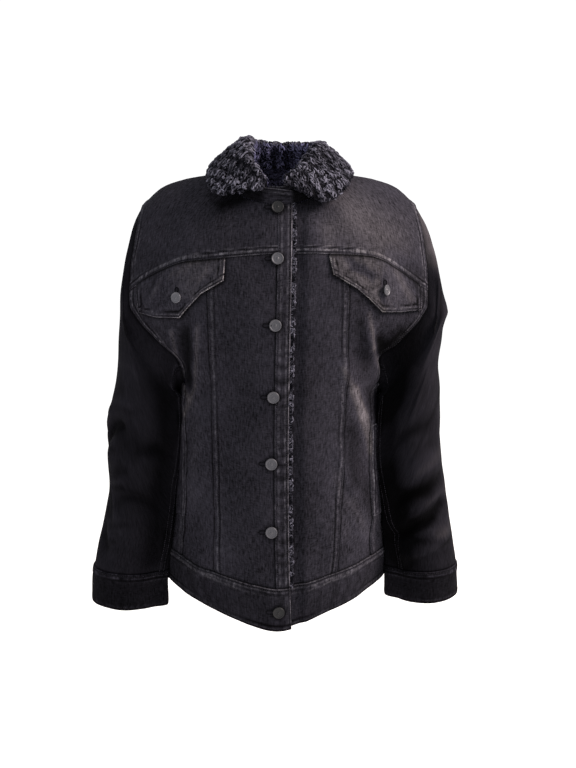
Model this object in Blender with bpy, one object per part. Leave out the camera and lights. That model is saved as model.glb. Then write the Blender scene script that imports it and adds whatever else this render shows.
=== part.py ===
"""Sherpa lined denim jacket, hollow and filled out as it is worn, arms hanging.

Metres, +Z up, the front faces -Y and +X is the wearer's left. The origin is midway between the high
points of the two shoulder seams. Every panel is a wall on one of four surfaces, each a function of two
numbers: the torso's front and back (share from the centre line to the side or armhole, level from hem to
neck), the sleeve (turn round it, station along it) and the collar (share round the neck, share across).
"""

import math

import bpy
import numpy as np

# Driving sizes ---------------------------------------------------------------------------------------

WALL = 0.004  # denim with the sherpa bonded to its inside
GAP = 0.0003  # between two pieces at a seam
LIFT = 0.0008  # from a panel to what is sewn on it
STAND_WALL = 0.002  # the collar stand is denim alone
BAND_PROUD = 0.001  # waistband and cuffs stand out by this
STAND_HEIGHT = 0.025  # at its front end on the wearer's right
STAND_REACH = 0.8  # elsewhere it goes this far up inside the collar's fold
FLAP_THICK = 0.0025
WELT_THICK = 0.002
WELT_LIFT = 0.0014  # more than LIFT, since it bridges a fold
WELT_WIDTH = 0.012
BUTTON_RADIUS = 0.0085
BUTTON_THICK = 0.003
FLAP_BUTTON_RADIUS = 0.0078
BUTTON_LIFT, FLAP_BUTTON_LIFT = 0.0009, 0.0006  # their backs from the cloth, which bulges under them
PLACKET_WIDTH = 0.020
UNDERLAP = 0.012  # the left front reaches this far past the centre, under the right one
LAP_DEPTH = WALL + 0.0018  # how far the left front sinks under the right one
LAP_FULL, LAP_END = 0.010, 0.024  # it has its full depth, and then none, this far past the placket's edge
STAND_LAP = STAND_WALL + 0.0012
FRINGE_WIDTH = 0.0055  # sherpa that shows past the placket's edge
FRINGE_SINK = 0.0006
FRINGE_THICK = 0.003
NECK_HALF = 0.080
NECK_FRONT = 0.100
NECK_BACK = 0.072
NECK_DIP_FRONT = -0.047
NECK_RISE_BACK = 0.012
NECK_SHARE = 0.45  # share of a yoke's top edge that is neckline, the rest is shoulder seam
HEM_SWAY = -0.007  # the hem swings this far towards the wearer's right

RIGHT, LEFT = -1, 1  # the wearer's, as signs of X
HEM, BAND, UNDERARM, YOKE, TOP = 0, 1, 4, 9, 10  # levels of the torso

PANEL_ROWS = (1, 1.5, 2, 2.5, 3, 3.5, 4, 4.4, 5, 5.5, 6, 6.6, 7.2, 7.8, 8.4, 9)
YOKE_ROWS = (9, 9.25, 9.5, 9.75, 10)
BAND_ROWS = (0, 0.33, 0.67, 1)
SLEEVE_END = 10  # station along the sleeve
SLEEVE_ROWS = (0, 0.5, 1, 1.8, 2.8, 3.8, 4.6, 5.4, 6.2, 7, 7.7, 8.4, 9)
CUFF_ROWS = (9, 9.5, 10)
SLEEVE_SEAM_LEVEL = 5.5  # the sleeve's two long seams start at this level of the armhole
CENTRE_COLUMNS, SIDE_FRONT_COLUMNS, SIDE_COLUMNS = 4, 7, 6
BACK_CENTRE_COLUMNS, BACK_SIDE_COLUMNS = 8, 7


def table(columns, *rows):
    """A dict with one array for each named column."""
    return dict(zip(columns.split(), np.array(rows, float).T))


# The centre line of each half, from the hem to the yoke seam.
CENTRE = {
    "front": table(
        "level y z",
        (0, -0.150, -0.6515),
        (1, -0.149, -0.588),
        (2, -0.146, -0.497),
        (3, -0.142, -0.404),
        (4, -0.141, -0.338),
        (5, -0.142, -0.300),
        (6, -0.142, -0.262),
        (7, -0.141, -0.222),
        (8, -0.135, -0.172),
        (9, -0.122, -0.1145),
    ),
    "back": table(
        "level y z",
        (0, 0.135, -0.624),
        (1, 0.133, -0.574),
        (2, 0.123, -0.488),
        (3, 0.112, -0.400),
        (4, 0.112, -0.335),
        (5, 0.114, -0.300),
        (6, 0.116, -0.264),
        (7, 0.117, -0.225),
        (8, 0.116, -0.180),
        (9, 0.110, -0.128),
    ),
}

# Where front and back meet, from the hem to the underarm.
SIDE = table(
    "level x y z",
    (0, 0.172, 0, -0.604),
    (1, 0.170, 0, -0.557),
    (2, 0.165, 0, -0.479),
    (3, 0.159, 0, -0.395),
    (4, 0.151, 0, -0.330),
)

# The armhole, from the underarm to the end of the shoulder seam.
ARMHOLE = {
    "front": table(
        "level x y z",
        (4, 0.151, 0.000, -0.330),
        (4.4, 0.147, -0.024, -0.326),
        (5, 0.143, -0.046, -0.306),
        (6, 0.150, -0.060, -0.268),
        (7, 0.176, -0.066, -0.240),
        (8, 0.206, -0.062, -0.207),
        (9, 0.216, -0.050, -0.170),
        (10, 0.203, 0.000, -0.048),
    ),
    "back": table(
        "level x y z",
        (4, 0.151, 0.000, -0.330),
        (4.4, 0.1505, 0.022, -0.326),
        (5, 0.155, 0.041, -0.306),
        (6, 0.168, 0.055, -0.271),
        (7, 0.179, 0.061, -0.235),
        (8, 0.190, 0.061, -0.195),
        (9, 0.199, 0.052, -0.147),
        (10, 0.203, 0.000, -0.048),
    ),
}

# How far round its arc a section goes, in degrees: 90 where front and back meet at the side.
ROUND = {
    "front": table("level arc", (0, 90), (3, 90), (4, 90), (5, 72), (6, 65), (7, 62), (8, 60), (9, 58)),
    "back": table("level arc", (0, 90), (3, 90), (4, 90), (5, 70), (6, 62), (7, 58), (8, 55), (9, 52)),
}

# The yoke seam is level across the chest and then runs down to the armhole.
YOKE_DROP = table(
    "share drop",
    (-0.2, 0),
    (0, 0),
    (0.2, 0),
    (0.4, 0.03),
    (0.56, 0.12),
    (0.7, 0.37),
    (0.85, 0.70),
    (1, 1),
    (1.1, 1.2),
)
YOKE_SAG = 0.007  # the wearer's right half of that seam bows down by this, near YOKE_SAG_SHARE
YOKE_SAG_SHARE = 0.45

# The hem and the waistband's seam come up from a point at the centre front.
HEM_DROP = table(
    "share drop",
    (-0.2, 0.2),
    (0, 0),
    (0.12, 0.16),
    (0.33, 0.54),
    (0.45, 0.70),
    (0.6, 0.89),
    (0.75, 0.97),
    (1, 1),
)

# The shoulder seam, from the neck to the armhole.
SHOULDER = table(
    "share x z",
    (0, 0.080, 0),
    (0.25, 0.110, -0.004),
    (0.5, 0.142, -0.010),
    (0.75, 0.174, -0.022),
    (1, 0.203, -0.048),
)

# How a yoke leaves its seam and comes to its top edge: pulls in shares of the distance between the two, and
# the slope at the top, at the neck's centre and then as a change towards the shoulder.
YOKE_PULL_LOW, YOKE_PULL_HIGH = 1.15, 1.05
YOKE_SLOPE_LEVEL = 0.3  # the seam's own slope is taken over this much below it
YOKE_OVERRUN = 1.02  # a yoke's surface can be read this far, as a share of its height
LEAN_OUT, LEAN_OUT_MORE, LEAN_UP_LESS = 0.30, 0.70, 0.75
YOKE_FACING_UP = 1.2  # its outward direction turns up by this much at the shoulder

# The placket's free edge on the front.
PLACKET_EDGE = table(
    "level x",
    (0, 0.0186),
    (1, 0.0165),
    (2, 0.0148),
    (3, 0.0145),
    (5, 0.0155),
    (7, 0.0170),
    (9, 0.0192),
    (10, 0.0198),
)
PRINCESS = table("level x", (1, 0.088), (4, 0.094), (9, 0.099))
BACK_PRINCESS = table("level x", (1, 0.052), (4, 0.072), (9, 0.098))
SIDE_FRONT = table("level share", (1, 0.62), (3, 0.64), (4, 0.70), (4.6, 0.82), (5.1, 0.985), (5.5, 1))
SIDE_PANEL_TOP = 5.0

# The sleeve's outer and inner lines, and how far it is from front to back at each station.
SLEEVE = table(
    "station z_out z_in x_right x_left x_in y_mid half_depth lift_left",
    (0, -0.048, -0.330, 0.203, 0.203, 0.151, 0.000, 0.064, 0),
    (0.5, -0.068, -0.326, 0.213, 0.215, 0.158, -0.001, 0.066, 0),
    (1, -0.092, -0.343, 0.220, 0.225, 0.162, -0.003, 0.068, 0),
    (2, -0.140, -0.364, 0.230, 0.237, 0.153, -0.010, 0.069, 0),
    (3, -0.200, -0.388, 0.236, 0.245, 0.147, -0.017, 0.068, 0),
    (4, -0.265, -0.415, 0.240, 0.239, 0.146, -0.022, 0.066, 0),
    (5, -0.330, -0.446, 0.249, 0.241, 0.148, -0.025, 0.064, 0),
    (6, -0.395, -0.480, 0.260, 0.244, 0.154, -0.026, 0.062, 0),
    (7, -0.460, -0.516, 0.258, 0.251, 0.159, -0.028, 0.060, 0),
    (8, -0.524, -0.552, 0.270, 0.261, 0.165, -0.029, 0.058, 0.001),
    (9, -0.588, -0.591, 0.283, 0.270, 0.170, -0.029, 0.056, 0.004),
    (10, -0.644, -0.647, 0.288, 0.273, 0.173, -0.029, 0.054, 0.011),
)
LOOP_FADE = 4.0  # the armhole's own outline has gone by this station
ARM_CLEAR = 0.0055  # between the sleeve and the side of the torso, with the pocket welt on it
ARM_CLEAR_SOFT = 0.002

# Soft folds: a ridge between two points of the cloth, or a trough where its height is below zero.
FRONT_FOLDS = table(
    "x0 z0 x1 z1 width height",
    (-0.116, -0.226, -0.117, -0.276, 0.013, 0.004),
    (-0.117, -0.276, -0.134, -0.335, 0.013, 0.005),
    (-0.134, -0.236, -0.132, -0.300, 0.014, -0.006),
    (-0.118, -0.370, -0.116, -0.450, 0.022, 0.004),
    (0.126, -0.222, 0.131, -0.246, 0.013, 0.004),
    (0.131, -0.246, 0.140, -0.300, 0.013, 0.005),
    (0.148, -0.236, 0.148, -0.268, 0.014, -0.006),
    (0.094, -0.270, 0.128, -0.355, 0.015, 0.004),
    (0.082, -0.395, 0.122, -0.500, 0.017, 0.004),
    (-0.050, -0.520, -0.110, -0.560, 0.018, 0.003),
)
BACK_FOLDS = table(
    "x0 z0 x1 z1 width height",
    (-0.145, -0.240, -0.120, -0.330, 0.013, 0.005),
    (0.140, -0.230, 0.122, -0.320, 0.013, 0.005),
    (-0.130, -0.350, -0.060, -0.390, 0.014, 0.004),
    (0.125, -0.360, 0.050, -0.405, 0.015, 0.004),
    (-0.090, -0.430, 0.010, -0.455, 0.016, -0.003),
    (-0.110, -0.540, -0.070, -0.450, 0.018, 0.003),
    (0.105, -0.545, 0.080, -0.470, 0.018, 0.003),
)
SLEEVE_ROUND, SLEEVE_STATION = 0.36, 0.056  # one turn and one station, in metres, for the folds
SLEEVE_FOLDS = {
    RIGHT: table(
        "turn0 station0 turn1 station1 width height",
        (0.02, 6.1, 0.14, 5.2, 0.012, -0.007),
        (0.03, 5.5, 0.16, 4.6, 0.014, 0.004),
        (0.05, 7.5, 0.12, 8.4, 0.013, -0.005),
        (0.33, 4.6, 0.20, 5.5, 0.014, -0.004),
        (0.30, 6.6, 0.14, 7.2, 0.015, -0.004),
        (0.95, 6.2, 0.80, 5.3, 0.014, -0.006),
        (0.68, 5.2, 0.84, 6.3, 0.014, -0.005),
        (0.92, 7.4, 0.78, 8.0, 0.014, -0.004),
        (0.22, 1.2, 0.18, 2.6, 0.014, 0.004),
    ),
    LEFT: table(
        "turn0 station0 turn1 station1 width height",
        (0.36, 7.6, 0.12, 7.3, 0.013, -0.007),
        (0.33, 6.4, 0.08, 6.7, 0.013, -0.005),
        (0.34, 8.4, 0.14, 8.1, 0.014, 0.004),
        (0.05, 2.9, 0.16, 2.4, 0.014, 0.005),
        (0.30, 4.4, 0.15, 5.2, 0.015, -0.004),
        (0.93, 6.4, 0.76, 5.6, 0.014, -0.006),
        (0.68, 6.6, 0.86, 7.4, 0.014, -0.005),
        (0.90, 4.6, 0.74, 4.9, 0.015, -0.004),
        (0.22, 1.3, 0.18, 2.6, 0.014, 0.004),
    ),
}

# The collar: crest of the roll and edge of the leaf, from the centre back to the front end.
ROLL = {
    RIGHT: table(
        "share x y z",
        (0, 0, 0.058, 0.045),
        (0.2, 0.026, 0.052, 0.047),
        (0.4, 0.043, 0.028, 0.048),
        (0.55, 0.045, -0.006, 0.048),
        (0.7, 0.044, -0.042, 0.036),
        (0.82, 0.040, -0.072, 0.014),
        (0.92, 0.028, -0.090, -0.004),
        (1, 0.018, -0.098, -0.013),
    ),
    LEFT: table(
        "share x y z",
        (0, 0, 0.058, 0.045),
        (0.2, 0.028, 0.052, 0.045),
        (0.4, 0.052, 0.028, 0.043),
        (0.55, 0.060, -0.006, 0.041),
        (0.7, 0.051, -0.042, 0.033),
        (0.82, 0.037, -0.072, 0.014),
        (0.92, 0.023, -0.090, -0.001),
        (1, 0.010, -0.099, -0.009),
    ),
}
LEAF = {
    RIGHT: table(
        "share x y z",
        (0, 0, 0.100, -0.008),
        (0.2, 0.045, 0.092, -0.006),
        (0.4, 0.089, 0.055, 0.000),
        (0.55, 0.103, 0.000, 0.006),
        (0.65, 0.102, -0.045, -0.008),
        (0.72, 0.097, -0.072, -0.022),
        (0.79, 0.082, -0.090, -0.032),
        (0.86, 0.060, -0.100, -0.030),
        (0.93, 0.038, -0.105, -0.027),
        (1, 0.018, -0.107, -0.025),
    ),
    LEFT: table(
        "share x y z",
        (0, 0, 0.100, -0.008),
        (0.2, 0.045, 0.092, -0.006),
        (0.4, 0.090, 0.055, 0.000),
        (0.55, 0.106, 0.000, 0.005),
        (0.65, 0.103, -0.045, -0.011),
        (0.72, 0.090, -0.076, -0.028),
        (0.79, 0.068, -0.098, -0.042),
        (0.86, 0.047, -0.104, -0.036),
        (0.93, 0.028, -0.106, -0.028),
        (1, 0.011, -0.107, -0.018),
    ),
}
NECK_END = {RIGHT: 0.925, LEFT: 0.955}  # the collar's front ends, as shares of half the neck seam
STAND_END = {RIGHT: -1.155, LEFT: 1.05}
CORNER_START, CORNER_DROP = 0.95, 0.96  # where the stand's front corner starts, and how far it comes down
UNDER_X, UNDER_FADE = 0.042, 0.020  # from here to the centre the collar's left end sinks under its right one
LEAF_DROP, LEAF_OUT = 0.35, 0.12  # how the leaf bows on its way down from the roll, as shares of its length
LEAF_CLEAR = 0.0012  # from the yokes to the leaf
ROLL_SIZE = table("share radius half", (0, 0.0068, 0.0052), (0.8, 0.0068, 0.0052), (1, 0.0050, 0.0034))
COLLAR_STEPS = 17
COLLAR_SHARES = [(RIGHT, away) for away in np.linspace(1, 0, COLLAR_STEPS)]
COLLAR_SHARES += [(LEFT, away) for away in np.linspace(0, 1, COLLAR_STEPS)[1:]]
STAND_LAYER_HALF = 0.0030
STAND_LAYER_START = 0.0015

# Buttons down the front, by height and by how far they sit from the centre.
BUTTONS = table(
    "x z more_lift",
    (-0.001, -0.051, 0.0005),
    (-0.001, -0.121, 0),
    (-0.004, -0.212, 0),
    (-0.007, -0.312, 0),
    (-0.010, -0.407, 0),
    (-0.010, -0.505, 0),
    (0.000, -0.622, 0),
)
FLAP_BUTTONS = {RIGHT: (0.141, -0.176), LEFT: (0.148, -0.166)}
FLAP_OUTLINE = {
    RIGHT: table(
        "share x_top x_low z_low",
        (0, 0.073, 0.075, -0.152),
        (0.25, 0.095, 0.107, -0.170),
        (0.38, 0.115, 0.122, -0.185),
        (0.5, 0.137, 0.138, -0.204),
        (0.75, 0.170, 0.171, -0.204),
        (1, 0.204, 0.200, -0.200),
    ),
    LEFT: table(
        "share x_top x_low z_low",
        (0, 0.070, 0.076, -0.143),
        (0.25, 0.094, 0.108, -0.162),
        (0.38, 0.117, 0.126, -0.177),
        (0.5, 0.142, 0.145, -0.196),
        (0.75, 0.172, 0.173, -0.197),
        (1, 0.205, 0.203, -0.196),
    ),
}
FLAP_DROP = 0.0012  # from the yoke seam to the flap's top edge
WELT = table("x z", (0.1435, -0.365), (0.1450, -0.500))
WELT_SWAY = 0.15  # share of the hem's sway that the welts have

STEP_SHARE, STEP_LEVEL, STEP_TURN, STEP_STATION = 0.004, 0.02, 0.003, 0.03  # for slopes of the surfaces
SHARE_STEPS, NEWTON_STEPS = 12, 10  # how often a place is corrected when it is looked for


# Curves ----------------------------------------------------------------------------------------------


def through(rows, column, at):
    """A smooth curve through one column of a table, read at values of the table's first column."""
    keys = next(iter(rows.values()))
    values = rows[column]
    slopes = np.gradient(values, keys)
    at = np.asarray(at, float)
    i = np.clip(np.searchsorted(keys, at, side="right") - 1, 0, len(keys) - 2)
    span = keys[i + 1] - keys[i]
    return hermite(values[i], slopes[i] * span, values[i + 1], slopes[i + 1] * span, (at - keys[i]) / span)


def hermite(start, start_slope, end, end_slope, t):
    return (
        (2 * t**3 - 3 * t**2 + 1) * start
        + (t**3 - 2 * t**2 + t) * start_slope
        + (3 * t**2 - 2 * t**3) * end
        + (t**3 - t**2) * end_slope
    )


def ease(t):
    t = np.clip(t, 0, 1)
    return t * t * (3 - 2 * t)


def unit(vectors):
    return vectors / np.maximum(np.linalg.norm(vectors, axis=-1, keepdims=True), 1e-12)


def stack(x, y, z):
    return np.stack(np.broadcast_arrays(x, y, z), axis=-1).astype(float)


def folds(rows, u, v):
    """The height of all the folds of a table at the points (u, v)."""
    u0, v0, u1, v1, width, height = rows.values()
    total = np.zeros(np.shape(u))
    for k in range(len(u0)):
        along = np.array((u1[k] - u0[k], v1[k] - v0[k]))
        share = np.clip(((u - u0[k]) * along[0] + (v - v0[k]) * along[1]) / (along @ along), 0, 1)
        away = np.hypot(u - u0[k] - share * along[0], v - v0[k] - share * along[1])
        total += height[k] * np.exp(-((away / width[k]) ** 2))
    return total


# The torso -------------------------------------------------------------------------------------------


def section(half, share, level):
    """A point of the torso below the yoke seam, on the side of positive x, with its outward direction."""
    edge = {}
    for axis in "xyz":
        low = through(SIDE, axis, np.minimum(level, UNDERARM))
        high = through(ARMHOLE[half], axis, np.maximum(level, UNDERARM))
        edge[axis] = np.where(level < UNDERARM, low, high)
    arc = np.radians(through(ROUND[half], "arc", level))
    mid_y = through(CENTRE[half], "y", level)
    mid_z = through(CENTRE[half], "z", level)
    near_yoke = ease((level - 6) / (YOKE - 6))
    near_hem = ease((2.5 - level) / 1.5)
    hem_drop = through(HEM_DROP, "drop", share) if half == "front" else (1 - np.cos(math.pi * share)) / 2
    drop = (1 - near_yoke - near_hem) * share**2 + near_hem * hem_drop
    drop = drop + near_yoke * through(YOKE_DROP, "drop", share)
    bend = share * arc
    x = edge["x"] * np.sin(bend) / np.sin(arc)
    y = mid_y + (edge["y"] - mid_y) * (1 - np.cos(bend)) / (1 - np.cos(arc))
    z = mid_z + (edge["z"] - mid_z) * drop
    facing = -1 if half == "front" else 1
    return stack(x, y, z), stack(np.sin(bend), facing * np.cos(bend), 0)


def rim(half, share):
    """The top edge of a yoke: neckline, then shoulder seam."""
    angle = np.clip(share / NECK_SHARE, -1, 1) * math.pi / 2
    depth, rise = (-NECK_FRONT, NECK_DIP_FRONT) if half == "front" else (NECK_BACK, NECK_RISE_BACK)
    neck = stack(NECK_HALF * np.sin(angle), depth * np.cos(angle), rise * np.cos(angle))
    along = (share - NECK_SHARE) / (1 - NECK_SHARE)
    shoulder = stack(through(SHOULDER, "x", along), 0, through(SHOULDER, "z", along))
    return np.where((share > NECK_SHARE)[..., None], shoulder, neck)


def half_torso(half, share, level):
    """A point of the torso on the side of positive x, and its outward direction."""
    facing = -1 if half == "front" else 1
    low, outward = section(half, share, np.minimum(level, YOKE))
    seam, _ = section(half, share, np.full_like(level, YOKE))
    under, _ = section(half, share, np.full_like(level, YOKE - YOKE_SLOPE_LEVEL))
    top = rim(half, share)
    reach = np.linalg.norm(top - seam, axis=-1, keepdims=True)
    to_shoulder = ease(np.abs(share) / NECK_SHARE)
    lean_out = LEAN_OUT + LEAN_OUT_MORE * to_shoulder
    lean = unit(stack(0, -facing * lean_out, 1.0 - LEAN_UP_LESS * to_shoulder))
    t = np.clip(level - YOKE, 0, YOKE_OVERRUN)[..., None]
    leaving = unit(seam - under) * reach * YOKE_PULL_LOW
    high = hermite(seam, leaving, top, lean * reach * YOKE_PULL_HIGH, t)
    point = np.where((level > YOKE)[..., None], high, low)
    outward = unit(outward + stack(0, 0, YOKE_FACING_UP * to_shoulder) * t)
    return point, outward


def torso(side, half, share, level):
    """A point of the torso's outer face, with folds and with the left front's underlap."""
    share, level = np.broadcast_arrays(np.asarray(share, float), np.asarray(level, float))
    point, outward = half_torso(half, share, level)
    mirror = np.array((side, 1, 1))
    point, outward = point * mirror, outward * mirror
    point = point + stack(sway_at(level), 0, sag_at(side, half, share, level))
    rows = FRONT_FOLDS if half == "front" else BACK_FOLDS
    lift = folds(rows, point[..., 0], point[..., 2])
    if half == "front" and side == LEFT:
        edge = through(PLACKET_EDGE, "x", level)
        lift = lift - LAP_DEPTH * ease((edge + LAP_END - point[..., 0]) / (LAP_END - LAP_FULL))
    return point + outward * lift[..., None]


def torso_normal(side, half, share, level):
    """The outward normal, which front and back share along the shoulder seam."""
    share, level = np.broadcast_arrays(np.asarray(share, float), np.asarray(level, float))
    own = facing_out(side, half, share, level)
    other = facing_out(side, "back" if half == "front" else "front", share, level)
    shared = ease((level - TOP + 0.25) / 0.25) * ease((np.abs(share) - NECK_SHARE + 0.1) / 0.1)
    return unit(own + unit(other) * shared[..., None])


def facing_out(side, half, share, level):
    low, high = np.maximum(level - STEP_LEVEL, 0), np.minimum(level + STEP_LEVEL, TOP)
    across = torso(side, half, share + STEP_SHARE, level) - torso(side, half, share - STEP_SHARE, level)
    up = torso(side, half, share, high) - torso(side, half, share, low)
    facing = side if half == "front" else -side
    return unit(np.cross(across, up)) * facing


def sag_at(side, half, share, level):
    """How far the yoke seam's neighbourhood bows down on the wearer's right front."""
    if half == "back" or side == LEFT:
        return np.zeros_like(level)
    near = np.clip(1 - ((share - YOKE_SAG_SHARE) / YOKE_SAG_SHARE) ** 2, 0, 1) ** 2
    return -YOKE_SAG * near * np.clip(1 - (level - YOKE) ** 2, 0, 1) ** 2


def sway_at(level):
    """How far the torso swings sideways below the underarm."""
    return HEM_SWAY * np.clip(1 - level / UNDERARM, 0, 1) ** 2


def share_of(half, level, x):
    """The share at this distance from the centre line, negative past it."""
    level, x = np.broadcast_arrays(np.asarray(level, float), np.asarray(x, float))
    target = np.where(np.abs(x) < 1e-6, 1e-6, x)
    share = target / 0.2
    for _ in range(SHARE_STEPS):
        share = share * target / half_torso(half, share, level)[0][..., 0]
    return share


def share_at(side, level, x):
    """The share of the front at this signed X."""
    return share_of("front", level, side * (x - sway_at(level)))


def on_front(side, x, z):
    """The share and level of the front at this signed X and Z, found by Newton's method."""
    x, z = np.broadcast_arrays(np.asarray(x, float), np.asarray(z, float))
    level = np.interp(z, CENTRE["front"]["z"], CENTRE["front"]["level"])
    share = share_at(side, level, x)
    for _ in range(NEWTON_STEPS):
        here = torso(side, "front", share, level)
        by_share = (torso(side, "front", share + STEP_SHARE, level) - here) / STEP_SHARE
        by_level = (torso(side, "front", share, level + STEP_LEVEL) - here) / STEP_LEVEL
        miss_x, miss_z = x - here[..., 0], z - here[..., 2]
        determinant = by_share[..., 0] * by_level[..., 2] - by_level[..., 0] * by_share[..., 2]
        share = share + (miss_x * by_level[..., 2] - miss_z * by_level[..., 0]) / determinant
        level = level + (by_share[..., 0] * miss_z - by_share[..., 2] * miss_x) / determinant
        share, level = np.clip(share, -0.4, 1), np.clip(level, HEM, TOP - STEP_LEVEL)
    return share, level


# The sleeve ------------------------------------------------------------------------------------------


def armhole_turns(half):
    """Levels up one side of the armhole, and the turn of each, by its length round the loop."""
    levels = np.linspace(UNDERARM, TOP, 121)
    points, _ = half_torso(half, np.ones_like(levels), levels)
    length = np.concatenate([[0], np.cumsum(np.linalg.norm(np.diff(points, axis=0), axis=1))])
    share = length / length[-1]
    turns = 0.5 * (1 - share) if half == "front" else 0.5 * (1 + share)
    return levels, turns


TURNS = {half: armhole_turns(half) for half in ("front", "back")}


def turn_of(half, level):
    levels, turns = TURNS[half]
    return np.interp(level, levels, turns)


def armhole_at(turn):
    """The half and the level of the armhole at each turn."""
    front_levels, front_turns = TURNS["front"]
    back_levels, back_turns = TURNS["back"]
    turn = np.mod(turn, 1)
    level = np.where(
        turn <= 0.5,
        np.interp(turn, front_turns[::-1], front_levels[::-1]),
        np.interp(turn, back_turns, back_levels),
    )
    return turn <= 0.5, level


def armhole_points(side, turn, reader):
    """What a torso function gives on the armhole at each turn, front or back as the turn says."""
    is_front, level = armhole_at(turn)
    front, back = (reader(side, half, np.ones_like(level), level) for half in ("front", "back"))
    return np.where(is_front[..., None], front, back)


def torso_side(y, z):
    """Half the torso's width at this depth and height, below the underarm."""
    width = np.interp(z, SIDE["z"], SIDE["x"])
    front = np.interp(z, CENTRE["front"]["z"], CENTRE["front"]["y"])
    back = np.interp(z, CENTRE["back"]["z"], CENTRE["back"]["y"])
    depth = np.where(y < 0, front, back)
    return width * np.sqrt(np.clip(1 - (y / depth) ** 2, 0, 1))


def sleeve(side, turn, station):
    """A point of the sleeve's outer face.

    Turn 0 is the outer line, a quarter is the front and a half is the inner line.
    """
    turn, station = np.broadcast_arrays(np.asarray(turn, float), np.asarray(station, float))
    row = {name: through(SLEEVE, name, station) for name in SLEEVE if name != "station"}
    x_out = row["x_right"] if side == RIGHT else row["x_left"]
    loop = armhole_points(side, turn, torso) * np.array((side, 1, 1))
    shoulder_z, underarm_z = SLEEVE["z_out"][0], SLEEVE["z_in"][0]
    shoulder_x, underarm_x = SLEEVE["x_right"][0], SLEEVE["x_in"][0]
    loop_down = (shoulder_z - loop[..., 2]) / (shoulder_z - underarm_z)
    loop_out = loop[..., 0] - (shoulder_x + (underarm_x - shoulder_x) * loop_down)
    loop_depth = -loop[..., 1] / SLEEVE["half_depth"][0]
    angle = 2 * math.pi * turn
    plain = ease(station / LOOP_FADE)
    down = (1 - plain) * loop_down + plain * (1 - np.cos(angle)) / 2
    depth = (1 - plain) * loop_depth + plain * np.sin(angle)
    x = x_out + (row["x_in"] - x_out) * down + loop_out * (1 - plain)
    y = row["y_mid"] - row["half_depth"] * depth
    z = row["z_out"] + (row["z_in"] - row["z_out"]) * down + (side == LEFT) * row["lift_left"]
    rows = SLEEVE_FOLDS[side]
    scaled = table("u0 v0 u1 v1 width height", *zip(
        rows["turn0"] * SLEEVE_ROUND, rows["station0"] * SLEEVE_STATION,
        rows["turn1"] * SLEEVE_ROUND, rows["station1"] * SLEEVE_STATION, rows["width"], rows["height"],
    ))
    lift = folds(scaled, np.mod(turn, 1) * SLEEVE_ROUND, station * SLEEVE_STATION) * ease(station)
    lift = lift * ease((SLEEVE_END - station) / 1.5)
    x, y = x + lift * np.cos(angle), y - lift * np.sin(angle)
    sway = side * HEM_SWAY * np.clip((UNDERARM_Z - z) / (UNDERARM_Z - HEM_Z), 0, 1) ** 2
    limit = torso_side(y, z) + sway + ARM_CLEAR
    pressed = x + ARM_CLEAR_SOFT * np.log1p(np.exp(np.clip((limit - x) / ARM_CLEAR_SOFT, -30, 30)))
    x = np.where((z < UNDERARM_Z) & (station > 0), x + (pressed - x) * ease((station - 0.4) / 0.6), x)
    return stack(side * x, y, z)


UNDERARM_Z, HEM_Z = SIDE["z"][-1], SIDE["z"][0]


def sleeve_normal(side, turn, station):
    turn, station = np.broadcast_arrays(np.asarray(turn, float), np.asarray(station, float))
    low, high = np.maximum(station - STEP_STATION, 0.0), np.minimum(station + STEP_STATION, SLEEVE_END)
    around = sleeve(side, turn + STEP_TURN, station) - sleeve(side, turn - STEP_TURN, station)
    down = sleeve(side, turn, high) - sleeve(side, turn, low)
    own = unit(np.cross(around, down)) * side
    at_seam = armhole_points(side, turn, torso_normal)
    return unit(at_seam + (own - at_seam) * ease(station / 0.5)[..., None])


# Walls -----------------------------------------------------------------------------------------------


SPLIT_ORDER = np.array((0.37, 0.21, 1.0))


def material(name, colour, roughness, metallic=0.0):
    made = bpy.data.materials.new(name)
    made.use_nodes = True
    shader = made.node_tree.nodes["Principled BSDF"]
    shader.inputs["Base Color"].default_value = (*colour, 1)
    shader.inputs["Roughness"].default_value = roughness
    shader.inputs["Metallic"].default_value = metallic
    return made


def add_object(name, points, faces, finish):
    mesh = bpy.data.meshes.new(name)
    mesh.from_pydata([tuple(point) for point in points], [], faces)
    mesh.materials.append(finish(name))
    mesh.validate()
    mesh.shade_smooth()
    mesh.set_sharp_from_angle(angle=math.radians(40))
    made = bpy.data.objects.new(name, mesh)
    bpy.context.scene.collection.objects.link(made)
    return made


def shell(name, outer, inner, finish, closed=False):
    """One closed solid between two grids of points, open or closed along its second direction."""
    rows, columns = outer.shape[:2]
    points = np.concatenate([outer.reshape(-1, 3), inner.reshape(-1, 3)])
    base = rows * columns
    spans = columns if closed else columns - 1
    faces = []
    for i in range(rows - 1):
        for j in range(spans):
            a, b = i * columns + j, i * columns + (j + 1) % columns
            c, d = b + columns, a + columns
            across = np.linalg.norm(points[a] - points[c]) <= np.linalg.norm(points[b] - points[d])
            for i0, i1, i2 in ((a, b, c), (a, c, d)) if across else ((a, b, d), (b, c, d)):
                faces.append((i0, i1, i2))
                faces.append((base + i2, base + i1, base + i0))
    first_row = [(j, (j + 1) % columns) for j in range(spans)]
    last = (rows - 1) * columns
    faces += edge_faces(points, first_row, base, forward=True)
    faces += edge_faces(points, [(last + a, last + b) for a, b in first_row], base, forward=False)
    if not closed:
        steps = [(i * columns, (i + 1) * columns) for i in range(rows - 1)]
        faces += edge_faces(points, steps, base, forward=False)
        steps = [(a + columns - 1, b + columns - 1) for a, b in steps]
        faces += edge_faces(points, steps, base, forward=True)
    if signed_volume(points, faces) < 0:
        faces = [face[::-1] for face in faces]
    return add_object(name, points, faces, finish)


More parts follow.
